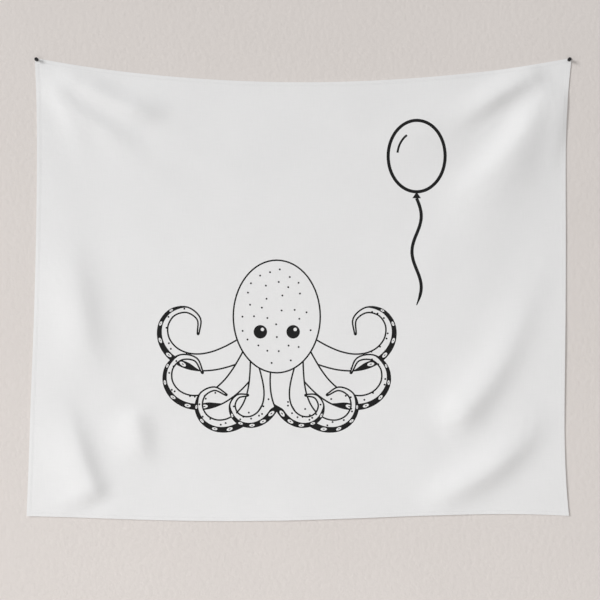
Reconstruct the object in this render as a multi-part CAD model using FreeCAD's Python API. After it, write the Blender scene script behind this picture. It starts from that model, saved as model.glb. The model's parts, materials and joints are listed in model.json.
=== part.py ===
"""A light wall hanging: one hemmed cloth, held up by a push pin through each of its top corners.

Units are millimetres. X runs to the right and Z runs up. The wall is the plane y = 0, and the
cloth's face looks along -Y. The origin lies on the wall, midway between the two pins.

The cloth is a single piece with its four edges turned over and sewn. It is built here as
regions: flat corners, hems, panels and stitch lines. They are parted at the two level lines
where it bends. Every region is a curved sheet pushed straight out from the wall.
"""
import FreeCAD, Part
import math
import os

from FreeCAD import Vector

# ---- driving dimensions -------------------------------------------------------------------

PIN_X = 746.0                 # each pin's distance from the middle
PIN_INSET = 6.0               # from a pin's axis to the cloth's top edge and to its side edge
TOP_SAG = 65.0                # how far the top edge hangs below its corners, at the middle
BEND_Z = -640.0               # the level line where the lower half folds up over the upper half

# The cloth's other edges as it hangs, as (x, z) points that a smooth curve runs through.
LEFT_EDGE = [(-752.0, 6.0), (-748.0, -340.0), (-756.0, -760.0), (-765.0, -1040.0), (-776.0, -1281.0)]
RIGHT_EDGE = [(752.0, 6.0), (742.0, -200.0), (739.5, -600.0), (742.0, -1095.0), (748.0, -1280.0)]
BOTTOM_EDGE = [(-776.0, -1281.0), (-500.0, -1291.0), (-150.0, -1296.0), (250.0, -1284.0),
               (567.0, -1275.6), (748.0, -1280.0)]

WALL_GAP = 0.2                # least gap between the cloth's back and the wall
CLOTH = 1.5                   # drawn thickness of the single layer
HEM = 2.4                     # drawn thickness of a turned edge, flush with the cloth's face
HEM_WIDTH = 12.0
CORNER = 42.0                 # side of the square that stays flat behind each pin
THREAD = 0.8                  # a stitch line's width, and how far it stands proud
THREAD_INSET = 9.5            # from the cloth's edge to the middle of a stitch line
THREAD_GAP = 0.3              # between a stitch line and the face of its hem
SEAM_GAP = 0.1                # between regions that move together
BEND_GAP = 0.5                # between regions that bend against each other

SWELL = 3.0                   # slow billow of the whole cloth, measured out from the wall
SWELL_ACROSS = 210.0          # lengths that set the billow's waves
SWELL_DOWN = 390.0
FLAT_HALF = 40.0              # the cloth stays flat this far above and below the bend line
FLAT_RAMP = 70.0              # it reaches its full relief over this distance
FLAT_AT_PIN = 52.0            # the cloth stays flat this far from a pin

# Each fold is its crest as (x, z) points, its height, and its half width.
FOLDS = [
    ([(745.0, 0.0), (657.0, -140.0), (530.0, -295.0), (410.0, -400.0)], 15.0, 36.0),
    ([(745.0, 0.0), (609.0, -79.0), (483.0, -149.0)], 6.0, 26.0),
    ([(-749.0, 0.0), (-640.0, -154.0), (-584.0, -295.0)], 10.0, 32.0),
    ([(-640.0, -500.0), (-612.0, -744.0), (-584.0, -870.0)], 9.0, 36.0),
    ([(637.0, -617.0), (567.0, -814.0), (497.0, -940.0), (413.0, -1038.0)], 12.0, 36.0),
    ([(665.0, -954.0), (609.0, -1066.0), (525.0, -1151.0), (384.0, -1212.0)], 12.0, 34.0),
    ([(-654.0, -996.0), (-598.0, -1095.0), (-570.0, -1165.0)], 9.0, 32.0),
]
FOLD_RISE = 0.25              # share of a crest over which the fold rises to its height
FOLD_FALL = 0.3               # share of a crest over which it dies away

PANEL_STEP = 20.0             # spacing of the points that a panel's surface follows
STRIP_STEP = 12.0             # the same along a hem or a stitch line

NEEDLE_R = 0.55               # the straight stretch that enters the wall
NEEDLE_IN_WALL = 7.5          # length of that stretch
NEEDLE_POINT = 2.5            # length of the pointed end
SHANK_R = 0.62                # the needle inside the grip; it tapers where it crosses the cloth
SHANK_DEPTH = 8.0
NEEDLE_HOLE_R = 0.68          # the hole in the cloth
GRIP_GAP = 0.1                # between the cloth's face and the foot of the grip
GRIP_LENGTH = 12.0
GRIP_FOOT_R = 4.8
GRIP_WAIST_R = 3.1
GRIP_HEAD_R = 5.2
GRIP_RIM = 1.4                # thickness of the foot, and of the head's rim
GRIP_ROUND = 0.4              # rounding of both rims

DEGREE = 3                    # of every sheet's surface
PARTS = "parts"

# ---- worked out from them -----------------------------------------------------------------

TOP_WIDTH = 2 * (PIN_X + PIN_INSET)
BOTTOM_LEFT = BOTTOM_EDGE[0][0]
BOTTOM_WIDTH = BOTTOM_EDGE[-1][0] - BOTTOM_LEFT
UPPER_DROP = PIN_INSET - BEND_Z
LOWER_DROP = BEND_Z - BOTTOM_EDGE[0][1]
FACE = WALL_GAP + HEM                      # the cloth's face, out from the wall, where it is flat
PANEL_BACK = FACE - CLOTH
THREAD_BACK = FACE + THREAD_GAP
GRIP_FOOT_Y = -(FACE + GRIP_GAP)


# ---- the shape that the cloth hangs in ----------------------------------------------------

def along_curve(points, samples):
    """Sample a smooth curve through (x, z) points, as (x, z, share) with share from 0 to 1."""
    curve = Part.BSplineCurve()
    curve.interpolate([Vector(x, 0, z) for x, z in points])
    first, last = curve.FirstParameter, curve.LastParameter
    shares = [i / samples for i in range(samples + 1)]
    found = [curve.value(first + (last - first) * share) for share in shares]
    return [(p.x, p.z, share) for p, share in zip(found, shares)]


def look_up(pairs, key):
    """Read a sorted list of (key, value) pairs between its two nearest entries."""
    for (key_0, value_0), (key_1, value_1) in zip(pairs, pairs[1:]):
        if key <= key_1:
            return value_0 + (value_1 - value_0) * (key - key_0) / (key_1 - key_0)
    return pairs[-1][1]


EDGE_SAMPLES = 240
CREST_SAMPLES = 60
LEFT = sorted((z, x) for x, z, _ in along_curve(LEFT_EDGE, EDGE_SAMPLES))
RIGHT = sorted((z, x) for x, z, _ in along_curve(RIGHT_EDGE, EDGE_SAMPLES))
BOTTOM = sorted((x, z) for x, z, _ in along_curve(BOTTOM_EDGE, EDGE_SAMPLES))
CRESTS = [(along_curve(points, CREST_SAMPLES), height, half) for points, height, half in FOLDS]


def top_z(s):
    """Height of the top edge at s, which runs from 0 at the left side to 1 at the right side."""
    return PIN_INSET - TOP_SAG * (1 - (2 * s - 1) ** 2)


def across_x(s, z):
    """Place across the cloth at height z."""
    return look_up(LEFT, z) * (1 - s) + look_up(RIGHT, z) * s


def upper_point(s, d):
    """Place of the cloth at s across and d millimetres down from its top edge."""
    z = top_z(s) + (BEND_Z - top_z(s)) * d / UPPER_DROP
    return across_x(s, z), z


def lower_point(s, d):
    """Place of the cloth at s across and d millimetres down from the bend line."""
    bottom_z = look_up(BOTTOM, BOTTOM_LEFT + BOTTOM_WIDTH * s)
    z = BEND_Z + (bottom_z - BEND_Z) * d / LOWER_DROP
    return across_x(s, z), z


def smooth(share):
    """Ease from 0 to 1 as the share goes from 0 to 1."""
    share = min(1.0, max(0.0, share))
    return share * share * (3 - 2 * share)


def relief(x, z):
    """How far the folds and the billow lift the cloth out from the wall at (x, z)."""
    lift = SWELL * (0.5 - 0.5 * math.cos(x / SWELL_ACROSS + z / SWELL_DOWN))
    for crest, height, half in CRESTS:
        away, share = min((math.hypot(x - cx, z - cz), share) for cx, cz, share in crest)
        grown = smooth(share / FOLD_RISE) * smooth((1 - share) / FOLD_FALL)
        lift += height * grown * math.exp(-0.5 * (away / half) ** 2)
    from_bend = smooth((abs(z - BEND_Z) - FLAT_HALF) / FLAT_RAMP)
    from_pin = smooth((math.hypot(abs(x) - PIN_X, z) - FLAT_AT_PIN) / FLAT_RAMP)
    return lift * from_bend * from_pin


# ---- building blocks ----------------------------------------------------------------------

def clamped_knots(count):
    """Give the knots and multiplicities of an even spline that reaches its first and last pole."""
    spans = count - DEGREE
    mults = [DEGREE + 1] + [1] * (spans - 1) + [DEGREE + 1]
    return [i / spans for i in range(spans + 1)], mults


def region(place, across, down, step, back, thickness):
    """Give one region of the hanging cloth as a solid.

    place gives (x, z) from (s, d). across holds the first and last distance from the left side,
    in millimetres, and down the first and last d. back is the gap that the relief adds to, and
    thickness is measured straight out from the wall.
    """
    wide = across[1] - across[0]
    tall = down[1] - down[0]
    columns = max(4, math.ceil(wide / step) + 1)
    rows = max(4, math.ceil(tall / step) + 1)
    poles = []
    for i in range(columns):
        s = (across[0] + wide * i / (columns - 1)) / TOP_WIDTH
        places = [place(s, down[0] + tall * j / (rows - 1)) for j in range(rows)]
        poles.append([Vector(x, -back - relief(x, z), z) for x, z in places])
    across_knots, across_mults = clamped_knots(columns)
    down_knots, down_mults = clamped_knots(rows)
    surface = Part.BSplineSurface()
    surface.buildFromPolesMultsKnots(poles, across_mults, down_mults, across_knots, down_knots,
                                     False, False, DEGREE, DEGREE)
    return surface.toShape().extrude(Vector(0, -thickness, 0))


def between_sides(inset):
    """Give a stretch across the cloth that stops the same distance short of both sides."""
    return inset, TOP_WIDTH - inset


def on_side(side, first, last):
    """Give a stretch across that starts and ends at set distances from one side."""
    if side < 0:
        return first, last
    return TOP_WIDTH - last, TOP_WIDTH - first


def hem(place, across, down):
    """A turned and pressed edge."""
    return region(place, across, down, STRIP_STEP, WALL_GAP, HEM)


def stitch_line(place, across, down):
    """A line of stitches that stands on the face of a hem."""
    return region(place, across, down, STRIP_STEP, THREAD_BACK, THREAD)


def around_wall_axis(profile, x):
    """Turn a profile of (radius, y) about the line along Y through (x, 0)."""
    outline = Part.Face(profile)
    outline.translate(Vector(x, 0, 0))
    return outline.revolve(Vector(x, 0, 0), Vector(0, 1, 0), 360)


def polyline(points):
    """Give a closed outline through (radius, y) points."""
    corners = [Vector(radius, y, 0) for radius, y in points]
    return Part.makePolygon(corners + corners[:1])


# ---- the cloth ----------------------------------------------------------------------------

def corner(side):
    """The square of turned cloth that a pin holds flat on the wall. It has the needle's hole."""
    outer = side * (PIN_X + PIN_INSET)
    inner = outer - side * CORNER
    low = PIN_INSET - CORNER
    outline = [(outer, PIN_INSET), (inner, top_z(CORNER / TOP_WIDTH)), (inner, low), (outer, low)]
    points = [Vector(x, -WALL_GAP, z) for x, z in outline]
    square = Part.Face(Part.makePolygon(points + points[:1])).extrude(Vector(0, -HEM, 0))
    hole = Part.makeCylinder(NEEDLE_HOLE_R, 2 * HEM, Vector(side * PIN_X, HEM / 2, 0), Vector(0, -1, 0))
    return square.cut(hole)


def corner_room(side):
    """The space that the rest of the cloth leaves for a corner square."""
    reach = CORNER + BEND_GAP
    left = -PIN_X - PIN_INSET - BEND_GAP if side < 0 else PIN_X + PIN_INSET - reach
    foot = Vector(left, -FACE - CORNER, PIN_INSET - reach)
    return Part.makeBox(reach + BEND_GAP, 2 * CORNER, 2 * reach, foot)


def panel_upper():
    """The single layer from the top hem to the bend line, notched for the corner squares."""
    down = (HEM_WIDTH + SEAM_GAP, UPPER_DROP - BEND_GAP / 2)
    across = between_sides(HEM_WIDTH + SEAM_GAP)
    sheet = region(upper_point, across, down, PANEL_STEP, PANEL_BACK, CLOTH)
    return sheet.cut(corner_room(-1)).cut(corner_room(1))


def panel_lower():
    """The single layer from the bend line to the bottom hem."""
    down = (BEND_GAP / 2, LOWER_DROP - HEM_WIDTH - SEAM_GAP)
    across = between_sides(HEM_WIDTH + SEAM_GAP)
    return region(lower_point, across, down, PANEL_STEP, PANEL_BACK, CLOTH)


def edges_across():
    """The hems and stitch lines along the top edge and the bottom edge, by name."""
    top = between_sides(CORNER + BEND_GAP)
    bottom = between_sides(0.0)
    half = THREAD / 2
    top_line = (THREAD_INSET - half, THREAD_INSET + half)
    bottom_line = (LOWER_DROP - THREAD_INSET - half, LOWER_DROP - THREAD_INSET + half)
    return {
        "hem_top": hem(upper_point, top, (0.0, HEM_WIDTH)),
        "hem_bottom": hem(lower_point, bottom, (LOWER_DROP - HEM_WIDTH, LOWER_DROP)),
        "thread_top": stitch_line(upper_point, top, top_line),
        "thread_bottom": stitch_line(lower_point, between_sides(THREAD_INSET), bottom_line),
    }


def edges_down(side, word):
    """The hems and stitch lines down one side edge, above and below the bend line, by name."""
    turned = on_side(side, 0.0, HEM_WIDTH)
    sewn = on_side(side, THREAD_INSET - THREAD / 2, THREAD_INSET + THREAD / 2)
    upper = (CORNER + BEND_GAP, UPPER_DROP - BEND_GAP / 2)
    lower = (BEND_GAP / 2, LOWER_DROP - HEM_WIDTH - SEAM_GAP)
    return {
        f"hem_{word}_upper": hem(upper_point, turned, upper),
        f"hem_{word}_lower": hem(lower_point, turned, lower),
        f"thread_{word}_upper": stitch_line(upper_point, sewn, upper),
        f"thread_{word}_lower": stitch_line(lower_point, sewn, lower),
    }


# ---- the push pins ------------------------------------------------------------------------

def pin_needle(side):
    """A push pin's steel needle: shank in the grip, taper through the cloth, straight, point."""
    profile = polyline([
        (0, GRIP_FOOT_Y - SHANK_DEPTH),
        (SHANK_R, GRIP_FOOT_Y - SHANK_DEPTH),
        (SHANK_R, GRIP_FOOT_Y),
        (NEEDLE_R, 0),
        (NEEDLE_R, NEEDLE_IN_WALL),
        (0, NEEDLE_IN_WALL + NEEDLE_POINT),
    ])
    return around_wall_axis(profile, side * PIN_X)


def pin_grip(side):
    """A push pin's moulded grip: a foot, a waist that flares smoothly to a domed head, a bore."""
    foot = GRIP_FOOT_Y
    end = foot - GRIP_LENGTH
    waist = Part.BSplineCurve()
    waist.interpolate([
        Vector(GRIP_FOOT_R - 1.2, foot - GRIP_RIM, 0),
        Vector(GRIP_WAIST_R, foot - 0.32 * GRIP_LENGTH, 0),
        Vector(GRIP_WAIST_R + 0.1, foot - 0.55 * GRIP_LENGTH, 0),
        Vector(GRIP_HEAD_R - 0.5, end + 2 * GRIP_RIM, 0),
        Vector(GRIP_HEAD_R, end + GRIP_RIM, 0),
    ])
    rim_top = Vector(GRIP_HEAD_R, end + GRIP_ROUND, 0)
    crown = Vector(GRIP_HEAD_R - GRIP_ROUND, end, 0)
    bend = GRIP_ROUND * math.sqrt(0.5)
    rim_middle = Vector(crown.x + bend, rim_top.y - bend, 0)
    corners = [
        crown,
        Vector(0, end, 0),
        Vector(0, foot - SHANK_DEPTH, 0),
        Vector(SHANK_R, foot - SHANK_DEPTH, 0),
        Vector(SHANK_R, foot, 0),
        Vector(GRIP_FOOT_R, foot, 0),
        Vector(GRIP_FOOT_R, foot - GRIP_RIM + GRIP_ROUND, 0),
        Vector(GRIP_FOOT_R - GRIP_ROUND, foot - GRIP_RIM, 0),
        Vector(GRIP_FOOT_R - 1.2, foot - GRIP_RIM, 0),
    ]
    edges = [waist.toShape()]
    edges.append(Part.LineSegment(Vector(GRIP_HEAD_R, end + GRIP_RIM, 0), rim_top).toShape())
    edges.append(Part.Arc(rim_top, rim_middle, crown).toShape())
    edges += [Part.LineSegment(a, b).toShape() for a, b in zip(corners, corners[1:])]
    return around_wall_axis(Part.Wire(edges), side * PIN_X)


# ---- all the pieces -----------------------------------------------------------------------

def pieces():
    """Build every piece, as a dictionary of name to solid."""
    made = {"panel_upper": panel_upper(), "panel_lower": panel_lower()}
    made.update(edges_across())
    for side, word in ((-1, "left"), (1, "right")):
        made[f"corner_{word}"] = corner(side)
        made.update(edges_down(side, word))
        made[f"{word}_pin_grip"] = pin_grip(side)
        made[f"{word}_pin_needle"] = pin_needle(side)
    return made


def main():
    """Write each piece to a file of its own."""
    os.makedirs(PARTS, exist_ok=True)
    for name, shape in sorted(pieces().items()):
        solid = shape.Solids[0]
        if not (shape.isValid() and len(shape.Solids) == 1 and solid.Volume > 0):
            raise ValueError(f"{name} is not one sound solid")
        solid.exportStep(f"{PARTS}/{name}.step")
        box = solid.BoundBox
        print(f"{name:20s} {solid.Volume:12.1f} mm3  y {box.YMin:7.2f} to {box.YMax:7.2f}")


main()
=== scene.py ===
"""A printed cloth wall hanging, held up by a push pin through each of its top corners.

Lengths are in metres. X runs to the right and Z runs up. The wall is the plane y = 0, and the
cloth's face looks along -Y. The origin lies on the wall, midway between the two pins.

The cloth is first laid out flat, as it was cut and sewn. A flat place is (u, v), where u runs to
the right from the left edge and v runs up from the top edge, so the cloth lies below v = 0. The
hung surface gives each flat place its point in space. The cloth, its print, its hems and its
stitches are all made flat and then wrapped onto that surface, each at its own height.
"""

import json
import logging
import math
import random
from collections.abc import Callable, Iterable, Sequence
from dataclasses import dataclass, field
from enum import Enum

import bmesh
import bpy
import numpy as np
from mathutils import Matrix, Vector
from mathutils.geometry import delaunay_2d_cdt

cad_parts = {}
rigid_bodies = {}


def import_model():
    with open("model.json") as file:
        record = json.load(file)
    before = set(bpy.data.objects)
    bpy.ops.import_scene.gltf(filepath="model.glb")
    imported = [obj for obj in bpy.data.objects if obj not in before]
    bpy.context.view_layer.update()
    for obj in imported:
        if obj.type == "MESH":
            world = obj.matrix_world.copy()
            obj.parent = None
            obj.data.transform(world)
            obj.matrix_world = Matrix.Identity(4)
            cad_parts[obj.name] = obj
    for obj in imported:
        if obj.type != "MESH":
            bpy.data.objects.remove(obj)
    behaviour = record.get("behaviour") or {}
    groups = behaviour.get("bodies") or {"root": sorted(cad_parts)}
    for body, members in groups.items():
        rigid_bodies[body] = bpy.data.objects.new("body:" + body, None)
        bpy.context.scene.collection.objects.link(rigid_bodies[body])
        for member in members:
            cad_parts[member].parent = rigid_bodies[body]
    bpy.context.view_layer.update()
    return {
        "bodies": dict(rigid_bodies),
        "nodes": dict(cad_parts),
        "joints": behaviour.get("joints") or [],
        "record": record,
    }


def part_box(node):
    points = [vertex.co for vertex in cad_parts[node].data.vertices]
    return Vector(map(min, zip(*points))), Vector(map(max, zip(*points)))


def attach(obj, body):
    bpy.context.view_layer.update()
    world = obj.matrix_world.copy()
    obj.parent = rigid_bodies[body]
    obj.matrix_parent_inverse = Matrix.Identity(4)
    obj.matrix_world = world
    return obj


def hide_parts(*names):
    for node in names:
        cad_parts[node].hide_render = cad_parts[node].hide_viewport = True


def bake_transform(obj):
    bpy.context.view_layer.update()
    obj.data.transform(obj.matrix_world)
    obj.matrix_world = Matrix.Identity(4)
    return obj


LOG = logging.getLogger("wall_hanging")
MM = 0.001
DOT_SIZE = 2.8        # radius of the drawing's small dots, in mm
CURL_GROWTH = 2.2     # how late along its length an arm of the drawing curls
Point = tuple[float, float]
Keys = Sequence[tuple[float, float]]


class Tone(Enum):
    """What a patch of the drawing does to the cloth under it."""

    BARE = 0
    INK = 1


class Half(Enum):
    """The two halves that the cloth is made in."""

    UPPER = "upper"
    LOWER = "lower"


class Edge(Enum):
    """The cloth's four edges."""

    TOP = "top"
    LEFT = "left"
    RIGHT = "right"
    BOTTOM = "bottom"


# ---- curves and strokes of the drawing ------------------------------------------------------


@dataclass(frozen=True)
class Patch:
    """One filled outline of the drawing. Later patches lie over earlier ones."""

    outline: tuple[Point, ...]
    tone: Tone


def hermite(start: float, leave: float, end: float, arrive: float, share: float) -> float:
    """Read a cubic between two values.

    Args:
        start: Value at share 0.
        leave: Slope at share 0.
        end: Value at share 1.
        arrive: Slope at share 1.
        share: Place from 0 to 1.

    Returns:
        The value there.
    """
    square, cube = share * share, share**3
    rise = 3 * square - 2 * cube
    return (1 - rise) * start + (cube - 2 * square + share) * leave + rise * end + (cube - square) * arrive


def smooth_path(points: Sequence[Point], steps: int, closed: bool = False) -> list[Point]:
    """Run a smooth curve through points.

    Args:
        points: Points that the curve passes.
        steps: Samples from each point to the next.
        closed: Whether the last point joins the first.

    Returns:
        The sampled curve.
    """
    count = len(points)
    path: list[Point] = []
    for i in range(count if closed else count - 1):
        here, there = points[i], points[(i + 1) % count]
        before = points[i - 1] if closed or i else (2 * here[0] - there[0], 2 * here[1] - there[1])
        after = points[(i + 2) % count] if closed or i + 2 < count else (2 * there[0] - here[0], 2 * there[1] - here[1])
        gaps = [math.sqrt(math.dist(p, q)) for p, q in ((before, here), (here, there), (there, after))]
        slopes = []
        for k in (0, 1):
            leave = (here[k] - before[k]) / gaps[0] - (there[k] - before[k]) / (gaps[0] + gaps[1])
            arrive = (after[k] - there[k]) / gaps[2] - (after[k] - here[k]) / (gaps[1] + gaps[2])
            straight = (there[k] - here[k]) / gaps[1]
            slopes.append(((leave + straight) * gaps[1], (arrive + straight) * gaps[1]))
        for j in range(steps):
            x, z = (hermite(here[k], slopes[k][0], there[k], slopes[k][1], j / steps) for k in (0, 1))
            path.append((x, z))
    if not closed:
        path.append(points[-1])
    return path


def side_directions(path: Sequence[Point], closed: bool = False) -> list[Point]:
    """Give the unit direction to the left of travel at each point of a path.

    Args:
        path: The path.
        closed: Whether it joins up.

    Returns:
        One direction for each point.
    """
    last = len(path) - 1
    sides = []
    for i in range(len(path)):
        before = path[i - 1 if closed or i else 0]
        after = path[(i + 1) % len(path) if closed else min(last, i + 1)]
        reach = math.dist(before, after)
        sides.append(((before[1] - after[1]) / reach, (after[0] - before[0]) / reach))
    return sides


def beside(path: Sequence[Point], sides: Sequence[Point], offsets: Sequence[float]) -> list[Point]:
    """Shift each point of a path to its left by its own offset.

    Args:
        path: The path.
        sides: Its side directions.
        offsets: How far each point moves.

    Returns:
        The shifted path.
    """
    return [(p[0] + s[0] * d, p[1] + s[1] * d) for p, s, d in zip(path, sides, offsets)]


def ribbon(left: Sequence[Point], right: Sequence[Point], tone: Tone, closed: bool = False) -> list[Patch]:
    """Fill the strip between two paths.

    Args:
        left: One side.
        right: The other side, point for point.
        tone: What fills it.
        closed: Whether the strip joins up.

    Returns:
        The strip's patches.
    """
    count = len(left)
    spans = count if closed else count - 1
    return [
        Patch((left[i], left[(i + 1) % count], right[(i + 1) % count], right[i]), tone)
        for i in range(spans)
    ]


def stroke(
    path: Sequence[Point], width: float, closed: bool = False, ends: tuple[float, float] = (0.0, 0.0)
) -> list[Patch]:
    """Ink a line along a path.

    Args:
        path: The line's middle.
        width: Its full width.
        closed: Whether it joins up.
        ends: Share of the path over which each end thins out.

    Returns:
        The line's patches.
    """
    thinnest = 0.3
    last = len(path) - 1
    halves = []
    for i in range(len(path)):
        full = 1.0
        for share, end in ((i / last, ends[0]), (1 - i / last, ends[1])):
            if end:
                full = min(full, thinnest + (1 - thinnest) * share / end)
        halves.append(0.5 * width * full)
    sides = side_directions(path, closed)
    return ribbon(beside(path, sides, halves), beside(path, sides, [-h for h in halves]), Tone.INK, closed)


def oval(
    centre: Point, wide: float, high: float, turn: float = 0.0, tone: Tone = Tone.INK, corners: int = 8
) -> Patch:
    """Make an oval.

    Args:
        centre: Its middle.
        wide: Half its width before it is turned.
        high: Half its height.
        turn: Angle it is turned by, in radians.
        tone: What fills it.
        corners: Corners on its outline.

    Returns:
        The patch.
    """
    cos, sin = math.cos(turn), math.sin(turn)
    outline = []
    for k in range(corners):
        angle = math.tau * k / corners
        across, along = wide * math.cos(angle), high * math.sin(angle)
        outline.append((centre[0] + across * cos - along * sin, centre[1] + across * sin + along * cos))
    return Patch(tuple(outline), tone)


def eased(keys: Keys, share: float) -> float:
    """Read keys that ease from one value to the next.

    Args:
        keys: Pairs of share and value, in order.
        share: Where to read.

    Returns:
        The value there.
    """
    if share <= keys[0][0]:
        return keys[0][1]
    for (share_0, value_0), (share_1, value_1) in zip(keys, keys[1:]):
        if share <= share_1:
            return hermite(value_0, 0, value_1, 0, (share - share_0) / (share_1 - share_0))
    return keys[-1][1]


def flowing(keys: Keys, share: float) -> float:
    """Read keys with a smooth curve through them.

    Args:
        keys: Pairs of share and value, in order.
        share: Where to read.

    Returns:
        The value there.
    """
    i = max(k for k in range(len(keys) - 1) if k == 0 or keys[k][0] < share)
    (share_0, value_0), (share_1, value_1) = keys[i], keys[i + 1]
    before = keys[i - 1] if i else (2 * share_0 - share_1, 2 * value_0 - value_1)
    after = keys[i + 2] if i + 2 < len(keys) else (2 * share_1 - share_0, 2 * value_1 - value_0)
    span = share_1 - share_0
    leave = (value_1 - before[1]) / (share_1 - before[0]) * span
    arrive = (after[1] - value_0) / (after[0] - share_0) * span
    return hermite(value_0, leave, value_1, arrive, min(1.0, (share - share_0) / span))


def is_inside(place: Point, outline: Sequence[Point]) -> bool:
    """Say whether a place is inside an outline.

    Args:
        place: The place.
        outline: The outline's corners.

    Returns:
        True if it is inside.
    """
    hit = False
    for (x_0, z_0), (x_1, z_1) in zip(outline, [*outline[1:], outline[0]]):
        if (z_0 > place[1]) != (z_1 > place[1]):
            hit ^= place[0] < (x_1 - x_0) * (place[1] - z_0) / (z_1 - z_0) + x_0
    return hit


@dataclass(frozen=True)
class Spots:
    """A row of marks along an arm: where it starts and ends, as shares of the arm, and how many."""

    first: float = 0.0
    last: float = 0.0
    count: int = 0


@dataclass(frozen=True)
class DrawnArm:
    """One arm of the octopus, in millimetres: an outlined ribbon with a dark underside."""

    spine: Sequence[Point]
    widths: Sequence[float]
    dark_side: int = 0
    dark: Keys = ((0.0, 0.0),)
    suckers: Spots = Spots()
    dots: Spots = Spots()
    seed: int = 1
    line: float = 4.4
    steps: int = 5

    def layout(self) -> tuple[list[Point], list[Point], list[float], list[float]]:
        """Work out the spine, its side directions, each point's share of the length and half width."""
        path = smooth_path(self.spine, self.steps)
        run = [0.0]
        for here, there in zip(path, path[1:]):
            run.append(run[-1] + math.dist(here, there))
        shares = [r / run[-1] for r in run]
        keys = [(shares[min(self.steps * i, len(path) - 1)], width) for i, width in enumerate(self.widths)]
        halves = [max(0.6 * self.line, flowing(keys, share)) for share in shares]
        return path, side_directions(path), shares, halves

    def place(self, share: float, across: float) -> Point:
        """Find a place on the arm.

        Args:
            share: How far along it is, from 0 to 1.
            across: How far across, from -1 on the right of travel to 1 on the left.

        Returns:
            The place.
        """
        path, sides, shares, halves = self.layout()
        i = min(range(len(path)), key=lambda k: abs(shares[k] - share))
        reach = halves[i] * across
        return path[i][0] + sides[i][0] * reach, path[i][1] + sides[i][1] * reach

    def patches(self) -> list[Patch]:
        """Draw the arm, from its bare fill up to its marks."""
        path, sides, shares, halves = self.layout()
        inner = [h - 0.5 * self.line for h in halves]
        drawn = ribbon(beside(path, sides, inner), beside(path, sides, [-d for d in inner]), Tone.BARE)
        dark = [eased(self.dark, share) for share in shares]
        if self.dark_side:
            rim = beside(path, sides, [self.dark_side * d for d in inner])
            reach = [self.dark_side * h * (1 - 2 * d) for h, d in zip(halves, dark)]
            strip = ribbon(rim, beside(path, sides, reach), Tone.INK)
            drawn += [patch for i, patch in enumerate(strip) if max(dark[i], dark[i + 1]) > 0.02]
        for sign in (1, -1):
            drawn += stroke(beside(path, sides, [sign * d for d in inner]), self.line)
        drawn.append(oval(path[-1], halves[-1], halves[-1]))
        rng = random.Random(self.seed)
        return drawn + self.sucker_patches(rng, dark) + self.dot_patches(rng, dark)

    def sucker_patches(self, rng: random.Random, dark: Sequence[float]) -> list[Patch]:
        """Draw the suckers down the middle of the dark underside.

        Args:
            rng: Source of their small differences.
            dark: The underside's share of the width at each point.

        Returns:
            The suckers' patches.
        """
        _, sides, shares, halves = self.layout()
        row = self.suckers
        drawn = []
        for k in range(row.count):
            share = row.first + (row.last - row.first) * k / max(1, row.count - 1)
            i = min(range(len(shares)), key=lambda n: abs(shares[n] - share))
            centre = self.place(shares[i], self.dark_side * (1 - dark[i]))
            turn = math.atan2(-sides[i][0], sides[i][1]) + rng.uniform(-0.3, 0.3)
            wide = min(18.0, 1.05 * halves[i] * dark[i])
            drawn.append(oval(centre, wide, 0.5 * wide, turn, Tone.BARE, 14))
            drawn.append(oval(centre, 0.36 * wide, 0.15 * wide, turn, Tone.INK, 6))
        return drawn

    def dot_patches(self, rng: random.Random, dark: Sequence[float]) -> list[Patch]:
        """Dot the light side of the arm.

        Args:
            rng: Source of the dots' places.
            dark: The underside's share of the width at each point.

        Returns:
            The dots' patches.
        """
        _, _, shares, _ = self.layout()
        row = self.dots
        drawn = []
        for k in range(row.count):
            share = row.first + (row.last - row.first) * (k + rng.uniform(0.1, 0.9)) / row.count
            i = min(range(len(shares)), key=lambda n: abs(shares[n] - share))
            across = rng.uniform(-0.7, 0.7) * (1 - dark[i]) - self.dark_side * dark[i]
            drawn.append(oval(self.place(shares[i], across), DOT_SIZE, DOT_SIZE))
        return drawn


def curl(start: Point, heading: float, length: float, turn: float, points: int = 13) -> list[Point]:
    """Lay out a line that bends more and more, so that it ends in a curl.

    Args:
        start: Where it starts.
        heading: Its direction there, in degrees from +x.
        length: Its length.
        turn: How far it turns in all, in degrees, to the left if positive.
        points: How many points to give.

    Returns:
        The points, evenly spaced.
    """
    step = length / (points - 1)
    path = [start]
    for k in range(points - 1):
        way = math.radians(heading + turn * ((k + 0.5) / (points - 1)) ** CURL_GROWTH)
        path.append((path[-1][0] + step * math.cos(way), path[-1][1] + step * math.sin(way)))
    return path


def round_outline(middle: Point, radii: tuple[float, float], corners: int = 64) -> list[Point]:
    """Give an ellipse's outline.

    Args:
        middle: Its middle.
        radii: Its radii across and up.
        corners: How many corners to give it.

    Returns:
        The corners.
    """
    turns = [2 * math.pi * k / corners for k in range(corners)]
    return [(middle[0] + radii[0] * math.cos(t), middle[1] + radii[1] * math.sin(t)) for t in turns]


@dataclass(frozen=True)
class ArmPlan:
    """Where an arm on the right leaves the head, which way, how long it is and how far it turns."""

    root: Point
    heading: float
    length: float
    turn: float


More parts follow.
